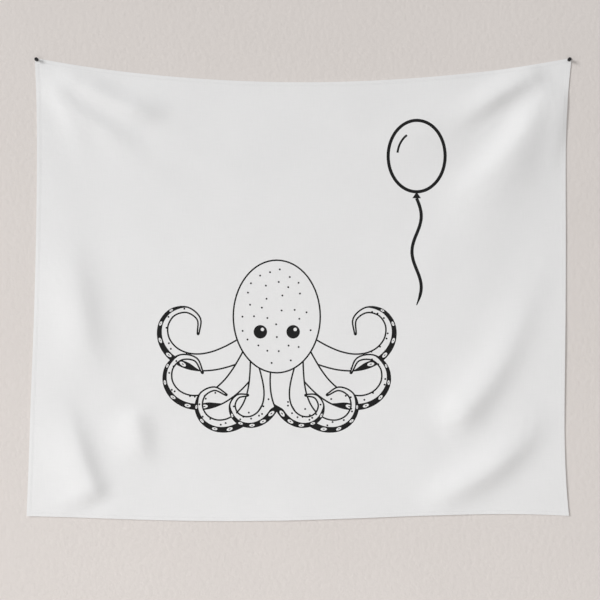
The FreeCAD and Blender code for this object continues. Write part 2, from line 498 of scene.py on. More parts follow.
@dataclass(frozen=True)
class OctopusDrawing:
    """A plain octopus, the same on both sides, in millimetres round the middle of the picture."""

    line: float = 4.4
    middle: Point = (0.0, -45.0)
    radii: tuple[float, float] = (122.0, 158.0)
    root_half: float = 36.0
    tip_half: float = 4.5
    eye: Point = (46.0, -88.0)
    eye_radius: float = 19.0
    eye_gap: float = 38.0
    dot_gap: float = 27.0
    dot_count: int = 34
    arms: Sequence[ArmPlan] = (
        ArmPlan((62.0, -120.0), -28.0, 500.0, 330.0),
        ArmPlan((58.0, -146.0), -58.0, 500.0, 330.0),
        ArmPlan((40.0, -166.0), -84.0, 440.0, 320.0),
        ArmPlan((18.0, -176.0), -100.0, 330.0, 300.0),
    )

    def arm(self, side: int, number: int) -> DrawnArm:
        """Give one arm.

        Args:
            side: 1 for the right, -1 for the left.
            number: Which of that side's arms it is, from the highest.

        Returns:
            The arm.
        """
        plan = self.arms[number]
        spine = [(side * x, z) for x, z in curl(plan.root, plan.heading, plan.length, plan.turn)]
        last = len(spine) - 1
        widths = [self.root_half + (self.tip_half - self.root_half) * k / last for k in range(last + 1)]
        return DrawnArm(
            spine=spine, widths=widths, dark_side=-side, dark=((0.3, 0), (0.4, 0.42), (0.75, 0.42), (0.9, 0)),
            suckers=Spots(0.42, 0.74, 5), dots=Spots(0.3, 0.85, 9), seed=10 * number + side + 2)

    def dots(self) -> list[Patch]:
        """Scatter dots over the head, clear of the eyes and of each other."""
        inside = round_outline(self.middle, (0.84 * self.radii[0], 0.86 * self.radii[1]))
        eyes = [(side * self.eye[0], self.eye[1]) for side in (-1, 1)]
        rng = random.Random(17)
        found: list[Point] = []
        for _ in range(4000):
            place = tuple(m + rng.uniform(-r, r) for m, r in zip(self.middle, self.radii))
            apart = all(math.dist(place, dot) > self.dot_gap for dot in found)
            clear = all(math.dist(place, eye) > self.eye_gap for eye in eyes)
            if len(found) < self.dot_count and apart and clear and is_inside(place, inside):
                found.append(place)
        return [oval(place, DOT_SIZE, DOT_SIZE) for place in found]

    def patches(self) -> list[Patch]:
        """Draw the octopus: its arms, its head over their roots, its dots and its eyes."""
        drawn: list[Patch] = []
        for number in range(len(self.arms)):
            for side in (-1, 1):
                drawn += self.arm(side, number).patches()
        head = round_outline(self.middle, self.radii)
        drawn.append(Patch(tuple(head), Tone.BARE))
        drawn += stroke(head, self.line, closed=True)
        drawn += self.dots()
        size = self.eye_radius
        for side in (-1, 1):
            x, z = side * self.eye[0], self.eye[1]
            drawn.append(oval((x, z), size, size, corners=24))
            drawn.append(oval((x + 0.3 * size, z + 0.35 * size), 0.26 * size, 0.26 * size, 0.0, Tone.BARE, 12))
        return drawn


@dataclass(frozen=True)
class BalloonDrawing:
    """A plain balloon on a waving string, in millimetres round the middle of the picture."""

    line: float = 9.0
    fine_line: float = 6.0
    middle: Point = (392.0, 405.0)
    radii: tuple[float, float] = (80.0, 100.0)
    knot: float = 12.0
    string: float = 300.0
    wave: float = 13.0
    waves: float = 1.5
    shine: float = 0.68

    def patches(self) -> list[Patch]:
        """Draw the balloon's skin, its knot, one line of shine and the string."""
        (x, z), (wide, high) = self.middle, self.radii
        foot = z - high - 1.5 * self.knot
        knot = ((x, z - high), (x - self.knot, foot), (x + self.knot, foot))
        shine = [(x + self.shine * wide * math.cos(t), z + self.shine * high * math.sin(t))
                 for t in (2.1 + 0.1 * k for k in range(10))]
        string = [(x + self.wave * math.sin(2 * math.pi * self.waves * share), foot - self.string * share)
                  for share in (k / 48 for k in range(49))]
        return [
            *stroke(round_outline(self.middle, self.radii), self.line, closed=True),
            Patch(knot, Tone.INK),
            *stroke(shine, self.fine_line),
            *stroke(string, self.line, ends=(0.0, 0.1)),
        ]


# ---- the cloth as cut and as hung -----------------------------------------------------------


@dataclass(frozen=True)
class Cut:
    """The flat cloth, with its edges already turned and sewn."""

    width: float = 1.524
    height: float = 1.295
    split: float = 0.561
    margin: float = 0.012

    def spans(self, half: Half) -> tuple[float, float]:
        """Give the highest and lowest v of a half."""
        return (0.0, -self.split) if half is Half.UPPER else (-self.split, -self.height)


class HangOutline:
    """The four edges as they hang, read from the frame's hems and corners."""

    SIDE_DEGREE = 4
    BOTTOM_DEGREE = 5

    def __init__(self, frame: dict) -> None:
        """Fit a curve to each edge.

        Args:
            frame: The loaded frame.
        """
        def gather(names: Iterable[str]) -> np.ndarray:
            found = [np.array([v.co for v in frame["nodes"][name].data.vertices]) for name in names]
            return np.concatenate(found)[:, [0, 2]]

        left = gather(["corner_left", "hem_left_upper", "hem_left_lower"])
        right = gather(["corner_right", "hem_right_upper", "hem_right_lower"])
        top = gather(["corner_left", "hem_top", "corner_right"])
        bottom = gather(["hem_left_lower", "hem_bottom", "hem_right_lower"])
        self.left = self.fit(left[:, 1], left[:, 0], -1, self.SIDE_DEGREE)
        self.right = self.fit(right[:, 1], right[:, 0], 1, self.SIDE_DEGREE)
        self.top = self.fit(top[:, 0], top[:, 1], 1, 2)
        self.bottom = self.fit(bottom[:, 0], bottom[:, 1], -1, self.BOTTOM_DEGREE)

    @staticmethod
    def fit(along: np.ndarray, out: np.ndarray, sign: int, degree: int) -> np.ndarray:
        """Fit a curve to the outermost points of an edge.

        Args:
            along: Each point's place along the edge.
            out: Each point's place across it.
            sign: Which way is outwards.
            degree: The curve's degree.

        Returns:
            The curve's coefficients.
        """
        bins = np.floor((along - along.min()) / 0.012).astype(int)
        keep = []
        for k in np.unique(bins):
            members = np.flatnonzero(bins == k)
            keep.append(members[np.argmax(sign * out[members])])
        return np.polyfit(along[keep], out[keep], degree)

    def levels(self, share: np.ndarray) -> tuple[np.ndarray, np.ndarray]:
        """Give the top and bottom heights at shares across the cloth."""
        x_top = np.polyval(self.left, 0.0) * (1 - share) + np.polyval(self.right, 0.0) * share
        low = np.polyval(self.bottom, -0.7)
        x_low = np.polyval(self.left, low) * (1 - share) + np.polyval(self.right, low) * share
        return np.polyval(self.top, x_top), np.polyval(self.bottom, x_low)

    def place(self, across: np.ndarray, down: np.ndarray) -> tuple[np.ndarray, np.ndarray]:
        """Find where shares across and down the cloth hang.

        Args:
            across: Share from the left edge.
            down: Share from the top edge.

        Returns:
            Their x and z.
        """
        top, bottom = self.levels(across)
        z = top * (1 - down) + bottom * down
        return np.polyval(self.left, z) * (1 - across) + np.polyval(self.right, z) * across, z

    def shares(self, x: np.ndarray, z: np.ndarray) -> tuple[np.ndarray, np.ndarray]:
        """Find the shares across and down that hang at x and z."""
        left, right = np.polyval(self.left, z), np.polyval(self.right, z)
        across = (x - left) / (right - left)
        top, bottom = self.levels(across)
        return across, (top - z) / (top - bottom)


@dataclass(frozen=True)
class Fold:
    """One soft fold: its crest as (x, z) points, its height, and its half width on each side."""

    crest: Sequence[Point]
    height: float
    half: tuple[float, float]
    rise: float = 0.4
    fall: float = 0.5
    crisp: float = 1.85

    def relief(self, x: np.ndarray, z: np.ndarray) -> np.ndarray:
        """Give the fold's height at places on the cloth.

        Args:
            x: Places across.
            z: Places up.

        Returns:
            How far each stands out.
        """
        path = np.array(smooth_path(self.crest, 30))
        away_x = x[..., None] - path[:, 0]
        away_z = z[..., None] - path[:, 1]
        nearest = np.argmin(away_x**2 + away_z**2, axis=-1)
        gap_x = np.take_along_axis(away_x, nearest[..., None], -1)[..., 0]
        gap_z = np.take_along_axis(away_z, nearest[..., None], -1)[..., 0]
        sides = np.array(side_directions([tuple(p) for p in path]))[nearest]
        offset = gap_x * sides[..., 0] + gap_z * sides[..., 1]
        distance = np.hypot(gap_x, gap_z)
        width = np.where(offset > 0, self.half[0], self.half[1])
        share = nearest / (len(path) - 1)
        swell = ease_array(share / self.rise) * ease_array((1 - share) / self.fall)
        return self.height * swell * np.exp(-((distance / width) ** self.crisp))


def ease_array(share: np.ndarray) -> np.ndarray:
    """Ease shares from 0 to 1, and hold them there outside."""
    held = np.clip(share, 0.0, 1.0)
    return held * held * (3 - 2 * held)


FOLDS = (
    Fold(((0.745, 0.0), (0.672, -0.130), (0.590, -0.250), (0.470, -0.360), (0.360, -0.440)), 0.0230, (0.092, 0.060)),
    Fold(((0.742, -0.005), (0.600, -0.066), (0.500, -0.128), (0.385, -0.205)), 0.0165, (0.034, 0.046)),
    Fold(((0.746, -0.020), (0.722, -0.180), (0.690, -0.360)), 0.004, (0.030, 0.034)),
    Fold(((-0.749, 0.0), (-0.672, -0.120), (-0.590, -0.320)), 0.009, (0.044, 0.036)),
    Fold(((-0.745, 0.0), (-0.600, -0.080), (-0.480, -0.135), (-0.360, -0.160)), 0.0150, (0.040, 0.032), fall=0.35),
    Fold(((-0.700, -0.080), (-0.560, -0.190), (-0.430, -0.250)), 0.0090, (0.040, 0.034)),
    Fold(((-0.672, -0.440), (-0.630, -0.660), (-0.606, -0.790), (-0.560, -0.920)), 0.0130, (0.054, 0.095)),
    Fold(((0.712, -0.440), (0.640, -0.660), (0.555, -0.850), (0.470, -0.965), (0.370, -1.055)), 0.0185,
         (0.048, 0.064), rise=0.85, fall=0.24),
    Fold(((0.695, -0.945), (0.615, -1.070), (0.515, -1.154), (0.405, -1.212), (0.290, -1.248)), 0.0175,
         (0.044, 0.060), rise=0.45, fall=0.40),
    Fold(((-0.700, -0.890), (-0.655, -1.015), (-0.622, -1.110), (-0.594, -1.185), (-0.565, -1.255)), 0.0150,
         (0.036, 0.090), rise=0.55, fall=0.22),
    Fold(((-0.485, -0.955), (-0.458, -1.055), (-0.442, -1.160)), 0.0110, (0.038, 0.060)),
)


@dataclass
class HungCloth:
    """The cloth's middle surface as it hangs, found by a short cloth simulation from a seeded shape."""

    cut: Cut
    outline: HangOutline
    columns: int = 126
    rows: int = 108
    stand_off: float = 2.35 * MM
    swell: float = 4.0 * MM
    flat_pin: float = 0.018
    full_relief: float = 0.11
    most_move: float = 0.012
    smoothing: int = 22
    frames: int = 30
    pins: tuple[Point, Point] = ((-0.746, 0.0), (0.746, 0.0))
    object: bpy.types.Object | None = field(default=None, init=False)

    def seeded(self) -> np.ndarray:
        """Lay out the shape that the folds start from, as rows of (x, y, z) points."""
        across, down = np.meshgrid(np.linspace(0, 1, self.columns + 1), np.linspace(0, 1, self.rows + 1))
        x, z = self.outline.place(across, down)
        relief = sum(fold.relief(x, z) for fold in FOLDS)
        billow = 0.5 + 0.25 * np.sin(x / 0.21 + 0.8) + 0.25 * np.sin(z / 0.30 + 2.0 * x)
        relief = relief + self.swell * billow
        for pin_x, pin_z in self.pins:
            gap = np.hypot(x - pin_x, z - pin_z)
            relief = relief * ease_array((gap - self.flat_pin) / self.full_relief)
        return np.stack([x, -(self.stand_off + relief), z], axis=-1)

    def relaxed(self, start: np.ndarray) -> np.ndarray:
        """Let the cloth settle under its weight, and keep it near its start.

        Args:
            start: Rows of points before the settling.

        Returns:
            Rows of points after it.
        """
        cloth = grid_object("hung cloth simulation", start)
        x, z = start[..., 0].ravel(), start[..., 2].ravel()
        held = cloth.vertex_groups.new(name="pinned")
        for pin_x, pin_z in self.pins:
            held.add(np.flatnonzero(np.hypot(x - pin_x, z - pin_z) < self.flat_pin).tolist(), 1.0, "REPLACE")
        wall = grid_object("wall collider", np.array([
            [[-1.2, 0.0, 0.4], [1.2, 0.0, 0.4]], [[-1.2, 0.0, -1.7], [1.2, 0.0, -1.7]]]))
        wall.modifiers.new("Collision", "COLLISION")
        wall.collision.thickness_outer = 1.5 * MM
        modifier = cloth.modifiers.new("Cloth", "CLOTH")
        settings = modifier.settings
        settings.quality = 6
        settings.mass = 0.002
        settings.air_damping = 3.0
        settings.tension_stiffness = 60
        settings.compression_stiffness = 20
        settings.shear_stiffness = 20
        settings.bending_stiffness = 0.4
        settings.vertex_group_mass = "pinned"
        modifier.collision_settings.distance_min = 1.0 * MM
        modifier.point_cache.frame_start = 1
        modifier.point_cache.frame_end = self.frames
        for frame_number in range(1, self.frames + 1):
            bpy.context.scene.frame_set(frame_number)
        settled = cloth.evaluated_get(bpy.context.evaluated_depsgraph_get()).data
        found = np.array([v.co for v in settled.vertices]).reshape(start.shape)
        bpy.context.scene.frame_set(1)
        for done in (cloth, wall):
            bpy.data.meshes.remove(done.data)
        move = found - start
        for _ in range(self.smoothing):
            edged = np.pad(move, ((1, 1), (1, 1), (0, 0)), mode="edge")
            move = 0.5 * move + 0.125 * (edged[2:, 1:-1] + edged[:-2, 1:-1] + edged[1:-1, 2:] + edged[1:-1, :-2])
        reach = np.linalg.norm(move, axis=-1, keepdims=True)
        LOG.info("cloth settled: mean move %.1f mm, most %.1f mm", 1000 * reach.mean(), 1000 * reach.max())
        move *= np.minimum(1.0, self.most_move / np.maximum(reach, 1e-9))
        return start + move

    def build(self) -> None:
        """Make the surface that every flat piece is wrapped onto."""
        points = self.seeded()
        points = self.relaxed(points)
        points[..., 1] = np.minimum(points[..., 1], -self.stand_off)
        points = widened(points, self.cut)
        points = refined(refined(points).transpose(1, 0, 2)).transpose(1, 0, 2)
        along_u = np.gradient(points, axis=1)
        along_v = np.gradient(points, axis=0)
        lift = np.cross(along_u, -along_v)
        lift /= -np.linalg.norm(lift, axis=-1, keepdims=True) * np.sign(lift[..., 1:2])
        self.object = grid_object("hung surface", points)
        mesh = self.object.data
        mesh.attributes.new("lift", "FLOAT_VECTOR", "POINT").data.foreach_set(
            "vector", lift.astype(np.float32).ravel())
        rows, columns = points.shape[:2]
        share_u, share_v = np.meshgrid(np.linspace(0, 1, columns), np.linspace(0, 1, rows))
        share = np.stack([share_u, share_v], axis=-1).reshape(-1, 2)
        corner = np.empty(len(mesh.loops), np.int32)
        mesh.loops.foreach_get("vertex_index", corner)
        layer = mesh.uv_layers.new(name="sheet")
        layer.uv.foreach_set("vector", share[corner].astype(np.float32).ravel())
        self.object.hide_render = True


def widened(points: np.ndarray, cut: Cut) -> np.ndarray:
    """Carry a grid of points on past its edges by the cut's margin.

    Args:
        points: Rows of points.
        cut: The flat cloth.

    Returns:
        The grid with one more row or column along each edge.
    """
    for axis, length in ((1, cut.width), (0, cut.height)):
        grid = np.moveaxis(points, axis, 0)
        share = cut.margin / (length / (len(grid) - 1))
        first = grid[0] + (grid[0] - grid[1]) * share
        last = grid[-1] + (grid[-1] - grid[-2]) * share
        points = np.moveaxis(np.concatenate([first[None], grid, last[None]]), 0, axis)
    return points


def refined(points: np.ndarray) -> np.ndarray:
    """Put a point midway between each two rows, on a smooth curve through their neighbours."""
    before = np.concatenate([2 * points[:1] - points[1:2], points[:-2]])
    after = np.concatenate([points[2:], 2 * points[-1:] - points[-2:-1]])
    middle = (9 * (points[:-1] + points[1:]) - before - after) / 16
    fine = np.empty((2 * len(points) - 1, *points.shape[1:]))
    fine[0::2], fine[1::2] = points, middle
    return fine


def grid_object(name: str, points: np.ndarray) -> bpy.types.Object:
    """Make a mesh object of a grid of points, facing the viewer.

    Args:
        name: Its name.
        points: Rows of points, the top row first.

    Returns:
        The object.
    """
    rows, columns = points.shape[:2]
    index = np.arange(rows * columns).reshape(rows, columns)
    quads = np.stack([index[:-1, :-1], index[1:, :-1], index[1:, 1:], index[:-1, 1:]], axis=-1)
    return mesh_object(name, points.reshape(-1, 3), quads.reshape(-1, 4).tolist())


def mesh_object(name: str, points: np.ndarray, faces: Sequence[Sequence[int]]) -> bpy.types.Object:
    """Make a smooth mesh object.

    Args:
        name: Its name.
        points: Its points.
        faces: Its faces, as indices of points.

    Returns:
        The object, linked to the scene.
    """
    mesh = bpy.data.meshes.new(name)
    mesh.from_pydata(np.asarray(points, float).tolist(), [], faces)
    mesh.shade_smooth()
    made = bpy.data.objects.new(name, mesh)
    bpy.context.scene.collection.objects.link(made)
    return made


# ---- flat pieces ----------------------------------------------------------------------------


@dataclass
class FlatPlan:
    """A rectangle of the flat cloth as triangles, which follow the drawing's outlines and any holes."""

    across: np.ndarray
    down: np.ndarray
    extra: np.ndarray = field(default_factory=lambda: np.zeros((0, 2)))
    patches: Sequence[Patch] = ()
    holes: Sequence[Point] = ()
    hole_radius: float = 0.75 * MM
    points: np.ndarray = field(init=False)
    triangles: np.ndarray = field(init=False)
    inked: np.ndarray = field(init=False)

    def __post_init__(self) -> None:
        """Triangulate the rectangle."""
        u, v = np.meshgrid(self.across, self.down)
        grid = np.stack([u.ravel(), v.ravel()], axis=-1)
        columns, rows = len(self.across), len(self.down)
        ring = [*range(columns), *range(2 * columns - 1, columns * rows, columns),
                *range(columns * rows - 2, columns * (rows - 1) - 1, -1),
                *range(columns * (rows - 2), 0, -columns)]
        edges = list(zip(ring, [*ring[1:], ring[0]]))
        places = [tuple(p) for p in grid] + [tuple(p) for p in self.extra]
        index: dict[tuple[int, int], int] = {}
        outlines: list[list[int]] = []
        ranks: list[int] = []
        drawn = [*self.patches, *(oval(hole, self.hole_radius, self.hole_radius, corners=12) for hole in self.holes)]
        for rank, patch in enumerate(drawn):
            corners = []
            for place in patch.outline:
                key = round(place[0] * 1e7), round(place[1] * 1e7)
                if key not in index:
                    index[key] = len(places)
                    places.append(place)
                corners.append(index[key])
            for loop in self.simple_loops(corners, places):
                outlines.append(loop)
                ranks.append(rank)
        found = delaunay_2d_cdt([Vector(p) for p in places], edges, outlines, 0, 1e-8)
        self.points = np.array([tuple(p) for p in found[0]])
        holes_from = len(self.patches)
        kept, inked = [], []
        for triangle, sources in zip(found[2], found[5]):
            rank = max((ranks[k] for k in sources), default=-1)
            if rank < holes_from:
                kept.append(triangle)
                inked.append(rank >= 0 and drawn[rank].tone is Tone.INK)
        self.triangles = np.array(kept)
        self.inked = np.array(inked)

    @staticmethod
    def simple_loops(corners: Sequence[int], places: Sequence[Point]) -> list[list[int]]:
        """Split a patch's outline into loops that run anticlockwise and don't cross themselves.

        Args:
            corners: The outline, as indices of places.
            places: All places.

        Returns:
            Its loops.
        """
        loops = [[corners[0], corners[1], corners[2]], [corners[0], corners[2], corners[3]]] \
            if len(corners) == 4 else [list(corners)]
        kept = []
        for loop in loops:
            loop = [c for i, c in enumerate(loop) if c != loop[i - 1]]
            ends = [(places[p], places[q]) for p, q in zip(loop, [*loop[1:], loop[0]])]
            area = 0.5 * sum(p[0] * q[1] - q[0] * p[1] for p, q in ends)
            if len(loop) > 2 and abs(area) > 1e-10:
                kept.append(loop if area > 0 else loop[::-1])
        return kept

    def half(self, cut: Cut, half: Half) -> np.ndarray:
        """Say which triangles lie in a half of the cloth."""
        middle = self.points[self.triangles][..., 1].mean(axis=1)
        high, low = cut.spans(half)
        return (middle < high) & (middle > low)


HeightRule = Callable[[np.ndarray], np.ndarray]


def level(height: float) -> HeightRule:
    """Give the rule for a face that keeps one height above the cloth's middle surface."""
    return lambda places: np.full(len(places), height)


def slab(name: str, plan: FlatPlan, chosen: np.ndarray, back: HeightRule, face: HeightRule) -> bpy.types.Object:
    """Make a closed flat piece from a plan's triangles.

    Args:
        name: The piece's name.
        plan: The plan.
        chosen: Which of its triangles the piece has.
        back: Height of its back at each flat place.
        face: Height of its face.

    Returns:
        The flat piece, with its face towards -Y and a map of its flat places.
    """
    triangles = plan.triangles[chosen]
    used, triangles = np.unique(triangles, return_inverse=True)
    triangles = triangles.reshape(-1, 3)
    places = plan.points[used]
    count = len(places)
    sides = np.concatenate([triangles[:, [0, 1]], triangles[:, [1, 2]], triangles[:, [2, 0]]])
    forward = sides[:, 0].astype(np.int64) * count + sides[:, 1]
    backward = sides[:, 1].astype(np.int64) * count + sides[:, 0]
    rim = sides[~np.isin(forward, backward)]
    walls = np.stack([rim[:, 1], rim[:, 0], rim[:, 0] + count, rim[:, 1] + count], axis=-1)
    faces = [*triangles.tolist(), *(triangles[:, ::-1] + count).tolist(), *walls.tolist()]
    front = np.stack([places[:, 0], -face(places), places[:, 1]], axis=-1)
    rear = np.stack([places[:, 0], -back(places), places[:, 1]], axis=-1)
    piece = mesh_object(name, np.concatenate([front, rear]), faces)
    corner = np.empty(len(piece.data.loops), np.int32)
    piece.data.loops.foreach_get("vertex_index", corner)
    flat = np.concatenate([places, places])
    span = np.ptp(places, axis=0)
    baked = 0.01 + 0.98 * (flat - places.min(axis=0)) / span
    baked[:, 0] = 0.5 * (baked[:, 0] + (np.arange(2 * count) >= count))
    for title, places_on_map in (("cut", flat), ("OFBake", baked)):
        layer = piece.data.uv_layers.new(name=title)
        layer.uv.foreach_set("vector", places_on_map[corner].astype(np.float32).ravel())
    return piece


class Tree:
    """A node tree under construction."""

    def __init__(self, tree: bpy.types.NodeTree) -> None:
        """Keep the tree that nodes are added to."""
        self.tree = tree

    def add(self, kind: str, settings: dict | None = None, **inputs: object) -> bpy.types.Node:
        """Add a node.

        Args:
            kind: Its type.
            settings: Its properties.
            inputs: Its inputs by name, with underscores for spaces, or by number as in_0. An
                output is linked, and anything else is set as the value.

        Returns:
            The node.
        """
        node = self.tree.nodes.new(kind)
        for key, value in (settings or {}).items():
            setattr(node, key, value)
        for key, value in inputs.items():
            socket = node.inputs[int(key[3:])] if key.startswith("in_") else node.inputs[key.replace("_", " ")]
            if isinstance(value, bpy.types.NodeSocket):
                self.tree.links.new(value, socket)
            else:
                socket.default_value = value
        return node

    def math(self, operation: str, *values: object) -> bpy.types.NodeSocket:
        """Add a sum.

        Args:
            operation: What it works out.
            values: Its values or outputs, in order.

        Returns:
            Its result.
        """
        kind = "ShaderNodeMath"
        inputs = {f"in_{i}": value for i, value in enumerate(values)}
        return self.add(kind, {"operation": operation}, **inputs).outputs[0]

    def noise(self, vector: bpy.types.NodeSocket, scale: Sequence[float], detail: float = 2.0) -> bpy.types.NodeSocket:
        """Add noise with its own scale along each axis.

        Args:
            vector: Where it is read.
            scale: How many waves there are to a metre along each axis.
            detail: How much finer noise is added.

        Returns:
            A value of about 0 to 1.
        """
        place = self.add("ShaderNodeVectorMath", {"operation": "MULTIPLY"}, in_0=vector, in_1=tuple(scale))
        return self.add("ShaderNodeTexNoise", Vector=place.outputs[0], Scale=1.0, Detail=detail).outputs[0]

    def spread(self, value: bpy.types.NodeSocket, low: float, high: float, at: Point = (0.0, 1.0)) -> bpy.types.NodeSocket:
        """Bring a value from one range to another.

        Args:
            value: The value.
            low: Result at the start of the range.
            high: Result at its end.
            at: The range.

        Returns:
            The result, held to its two ends.
        """
        return self.add("ShaderNodeMapRange", Value=value, From_Min=at[0], From_Max=at[1], To_Min=low,
                        To_Max=high).outputs[0]


class Wrap:
    """The Geometry Nodes tree that wraps a flat piece onto the hung cloth."""

    def __init__(self, cut: Cut, hung: HungCloth) -> None:
        """Build the tree.

        Args:
            cut: The flat cloth.
            hung: The surface that it hangs as.
        """
        self.cut = cut
        self.hung = hung
        self.core = self.build_core()
        self.plain = self.build_modifier("wrap a flat piece", None)
        self.sewn = self.build_modifier("wrap a row of stitches", "Stitch")

    @staticmethod
    def socket(tree: bpy.types.NodeTree, name: str, kind: str, output: bool = False) -> None:
        """Add a named socket to a tree."""
        tree.interface.new_socket(name, in_out="OUTPUT" if output else "INPUT", socket_type="NodeSocket" + kind)

    def build_core(self) -> bpy.types.NodeTree:
        """Build the group that moves points from their flat places onto the hung surface."""
        tree = bpy.data.node_groups.new("flat place to hung place", "GeometryNodeTree")
        for name, kind in (("Geometry", "Geometry"), ("Hung cloth", "Object"), ("Width", "Float"),
                           ("Height", "Float"), ("Margin", "Float")):
            self.socket(tree, name, kind)
        self.socket(tree, "Geometry", "Geometry", output=True)
        build = Tree(tree)
        given = build.add("NodeGroupInput").outputs
        position = build.add("GeometryNodeInputPosition").outputs[0]
        flat = build.add("ShaderNodeSeparateXYZ", in_0=position).outputs
        edge = build.math("MULTIPLY", given["Margin"], 2.0)
        share_u = build.math("DIVIDE", build.math("ADD", flat[0], given["Margin"]),
                             build.math("ADD", given["Width"], edge))
        share_v = build.math("DIVIDE", build.math("SUBTRACT", given["Margin"], flat[2]),
                             build.math("ADD", given["Height"], edge))
        place = build.add("ShaderNodeCombineXYZ", X=share_u, Y=share_v).outputs[0]
        surface = build.add("GeometryNodeObjectInfo", Object=given["Hung cloth"]).outputs["Geometry"]
        sheet = build.add("GeometryNodeInputNamedAttribute", {"data_type": "FLOAT_VECTOR"}, Name="sheet").outputs[0]
        lift = build.add("GeometryNodeInputNamedAttribute", {"data_type": "FLOAT_VECTOR"}, Name="lift").outputs[0]
        found = []
        for value in (position, lift):
            found.append(build.add("GeometryNodeSampleUVSurface", {"data_type": "FLOAT_VECTOR"}, Mesh=surface,
                                   Value=value, UV_Map=sheet, Sample_UV=place).outputs[0])
        out = build.add("ShaderNodeVectorMath", {"operation": "SCALE"}, in_0=found[1],
                        Scale=build.math("MULTIPLY", flat[1], -1.0)).outputs[0]
        where = build.add("ShaderNodeVectorMath", {"operation": "ADD"}, in_0=found[0], in_1=out).outputs[0]
        marked = build.add("GeometryNodeStoreNamedAttribute", {"data_type": "FLOAT_VECTOR", "domain": "POINT"},
                           Geometry=given["Geometry"], Name="lift", Value=found[1])
        moved = build.add("GeometryNodeSetPosition", Geometry=marked.outputs[0], Position=where)
        build.add("NodeGroupOutput", Geometry=moved.outputs[0])
        return tree

    def build_modifier(self, name: str, repeated: str | None) -> bpy.types.NodeTree:
        """Build a tree for a modifier.

        Args:
            name: The tree's name.
            repeated: Name of the input for a shape that is repeated along the flat piece, if any.

        Returns:
            The tree.
        """
        tree = bpy.data.node_groups.new(name, "GeometryNodeTree")
        tree.is_modifier = True
        sockets = [("Geometry", "Geometry"), ("Hung cloth", "Object"), ("Width", "Float"), ("Height", "Float"),
                   ("Margin", "Float"), ("Finish", "Material")]
        if repeated:
            sockets += [(repeated, "Object"), ("Pitch", "Float")]
        for title, kind in sockets:
            self.socket(tree, title, kind)
        self.socket(tree, "Geometry", "Geometry", output=True)
        build = Tree(tree)
        given = build.add("NodeGroupInput").outputs
        flat = given["Geometry"]
        if repeated:
            line = build.add("GeometryNodeMeshToCurve", Mesh=flat).outputs[0]
            even = build.add("GeometryNodeResampleCurve", {"mode": "LENGTH"}, Curve=line,
                             Length=given["Pitch"]).outputs[0]
            tangent = build.add("GeometryNodeInputTangent").outputs[0]
            turn = build.add("FunctionNodeAlignRotationToVector", {"axis": "X"}, Vector=tangent).outputs[0]
            shape = build.add("GeometryNodeObjectInfo", Object=given[repeated]).outputs["Geometry"]
            placed = build.add("GeometryNodeInstanceOnPoints", Points=even, Instance=shape, Rotation=turn)
            flat = build.add("GeometryNodeRealizeInstances", Geometry=placed.outputs[0]).outputs[0]
        wrapped = tree.nodes.new("GeometryNodeGroup")
        wrapped.node_tree = self.core
        tree.links.new(flat, wrapped.inputs["Geometry"])
        for title in ("Hung cloth", "Width", "Height", "Margin"):
            tree.links.new(given[title], wrapped.inputs[title])
        real = build.add("GeometryNodeRealizeInstances", Geometry=wrapped.outputs[0])
        dressed = build.add("GeometryNodeSetMaterial", Geometry=real.outputs[0], Material=given["Finish"])
        build.add("NodeGroupOutput", Geometry=dressed.outputs[0])
        return tree

    def apply(
        self,
        flat: bpy.types.Object,
        finish: bpy.types.Material,
        stitch: bpy.types.Object | None = None,
        pitch: float = 0.0,
    ) -> bpy.types.Object:
        """Wrap a flat piece, and make the result its mesh.

        Args:
            flat: The flat piece, or the line that stitches follow.
            finish: Its material.
            stitch: The shape that is repeated along it, if any.
            pitch: From one repeat to the next.

        Returns:
            The same object with its wrapped mesh.
        """
        tree = self.sewn if stitch else self.plain
        modifier = flat.modifiers.new("wrap", "NODES")
        modifier.node_group = tree
        values = {"Hung cloth": self.hung.object, "Width": self.cut.width, "Height": self.cut.height,
                  "Margin": self.cut.margin, "Finish": finish, "Stitch": stitch, "Pitch": pitch}
        for item in tree.interface.items_tree:
            if item.in_out == "INPUT" and item.name in values:
                modifier[item.identifier] = values[item.name]
        flat.update_tag()
        graph = bpy.context.evaluated_depsgraph_get()
        old = flat.data
        mesh = bpy.data.meshes.new_from_object(flat.evaluated_get(graph), depsgraph=graph)
        flat.modifiers.clear()
        flat.data = mesh
        bpy.data.meshes.remove(old)
        mesh.name = flat.name
        mesh.shade_smooth()
        if not stitch:
            self.keep_normals(mesh)
        return flat

    @staticmethod
    def keep_normals(mesh: bpy.types.Mesh) -> None:
        """Shade a wrapped mesh with the hung surface's own normals, so that pieces join without a seam."""
        count = len(mesh.vertices)
        lift = np.empty(3 * count, np.float32)
        mesh.attributes["lift"].data.foreach_get("vector", lift)
        own = np.empty(3 * count, np.float32)
        mesh.vertex_normals.foreach_get("vector", own)
        lift, own = lift.reshape(-1, 3), own.reshape(-1, 3)
        sign = np.where((lift * own).sum(axis=1) < 0, -1.0, 1.0)
        mesh.normals_split_custom_set_from_vertices((lift * sign[:, None]).tolist())
        mesh.attributes.remove(mesh.attributes["lift"])


# ---- finishes -------------------------------------------------------------------------------


def new_material(name: str) -> tuple[bpy.types.Material, Tree, bpy.types.Node]:
    """Start a material.

    Args:
        name: Its name.

    Returns:
        The material, its tree and its surface shader.
    """
    material = bpy.data.materials.new(name)
    material.use_nodes = True
    build = Tree(material.node_tree)
    shader = next(n for n in material.node_tree.nodes if n.type == "BSDF_PRINCIPLED")
    return material, build, shader


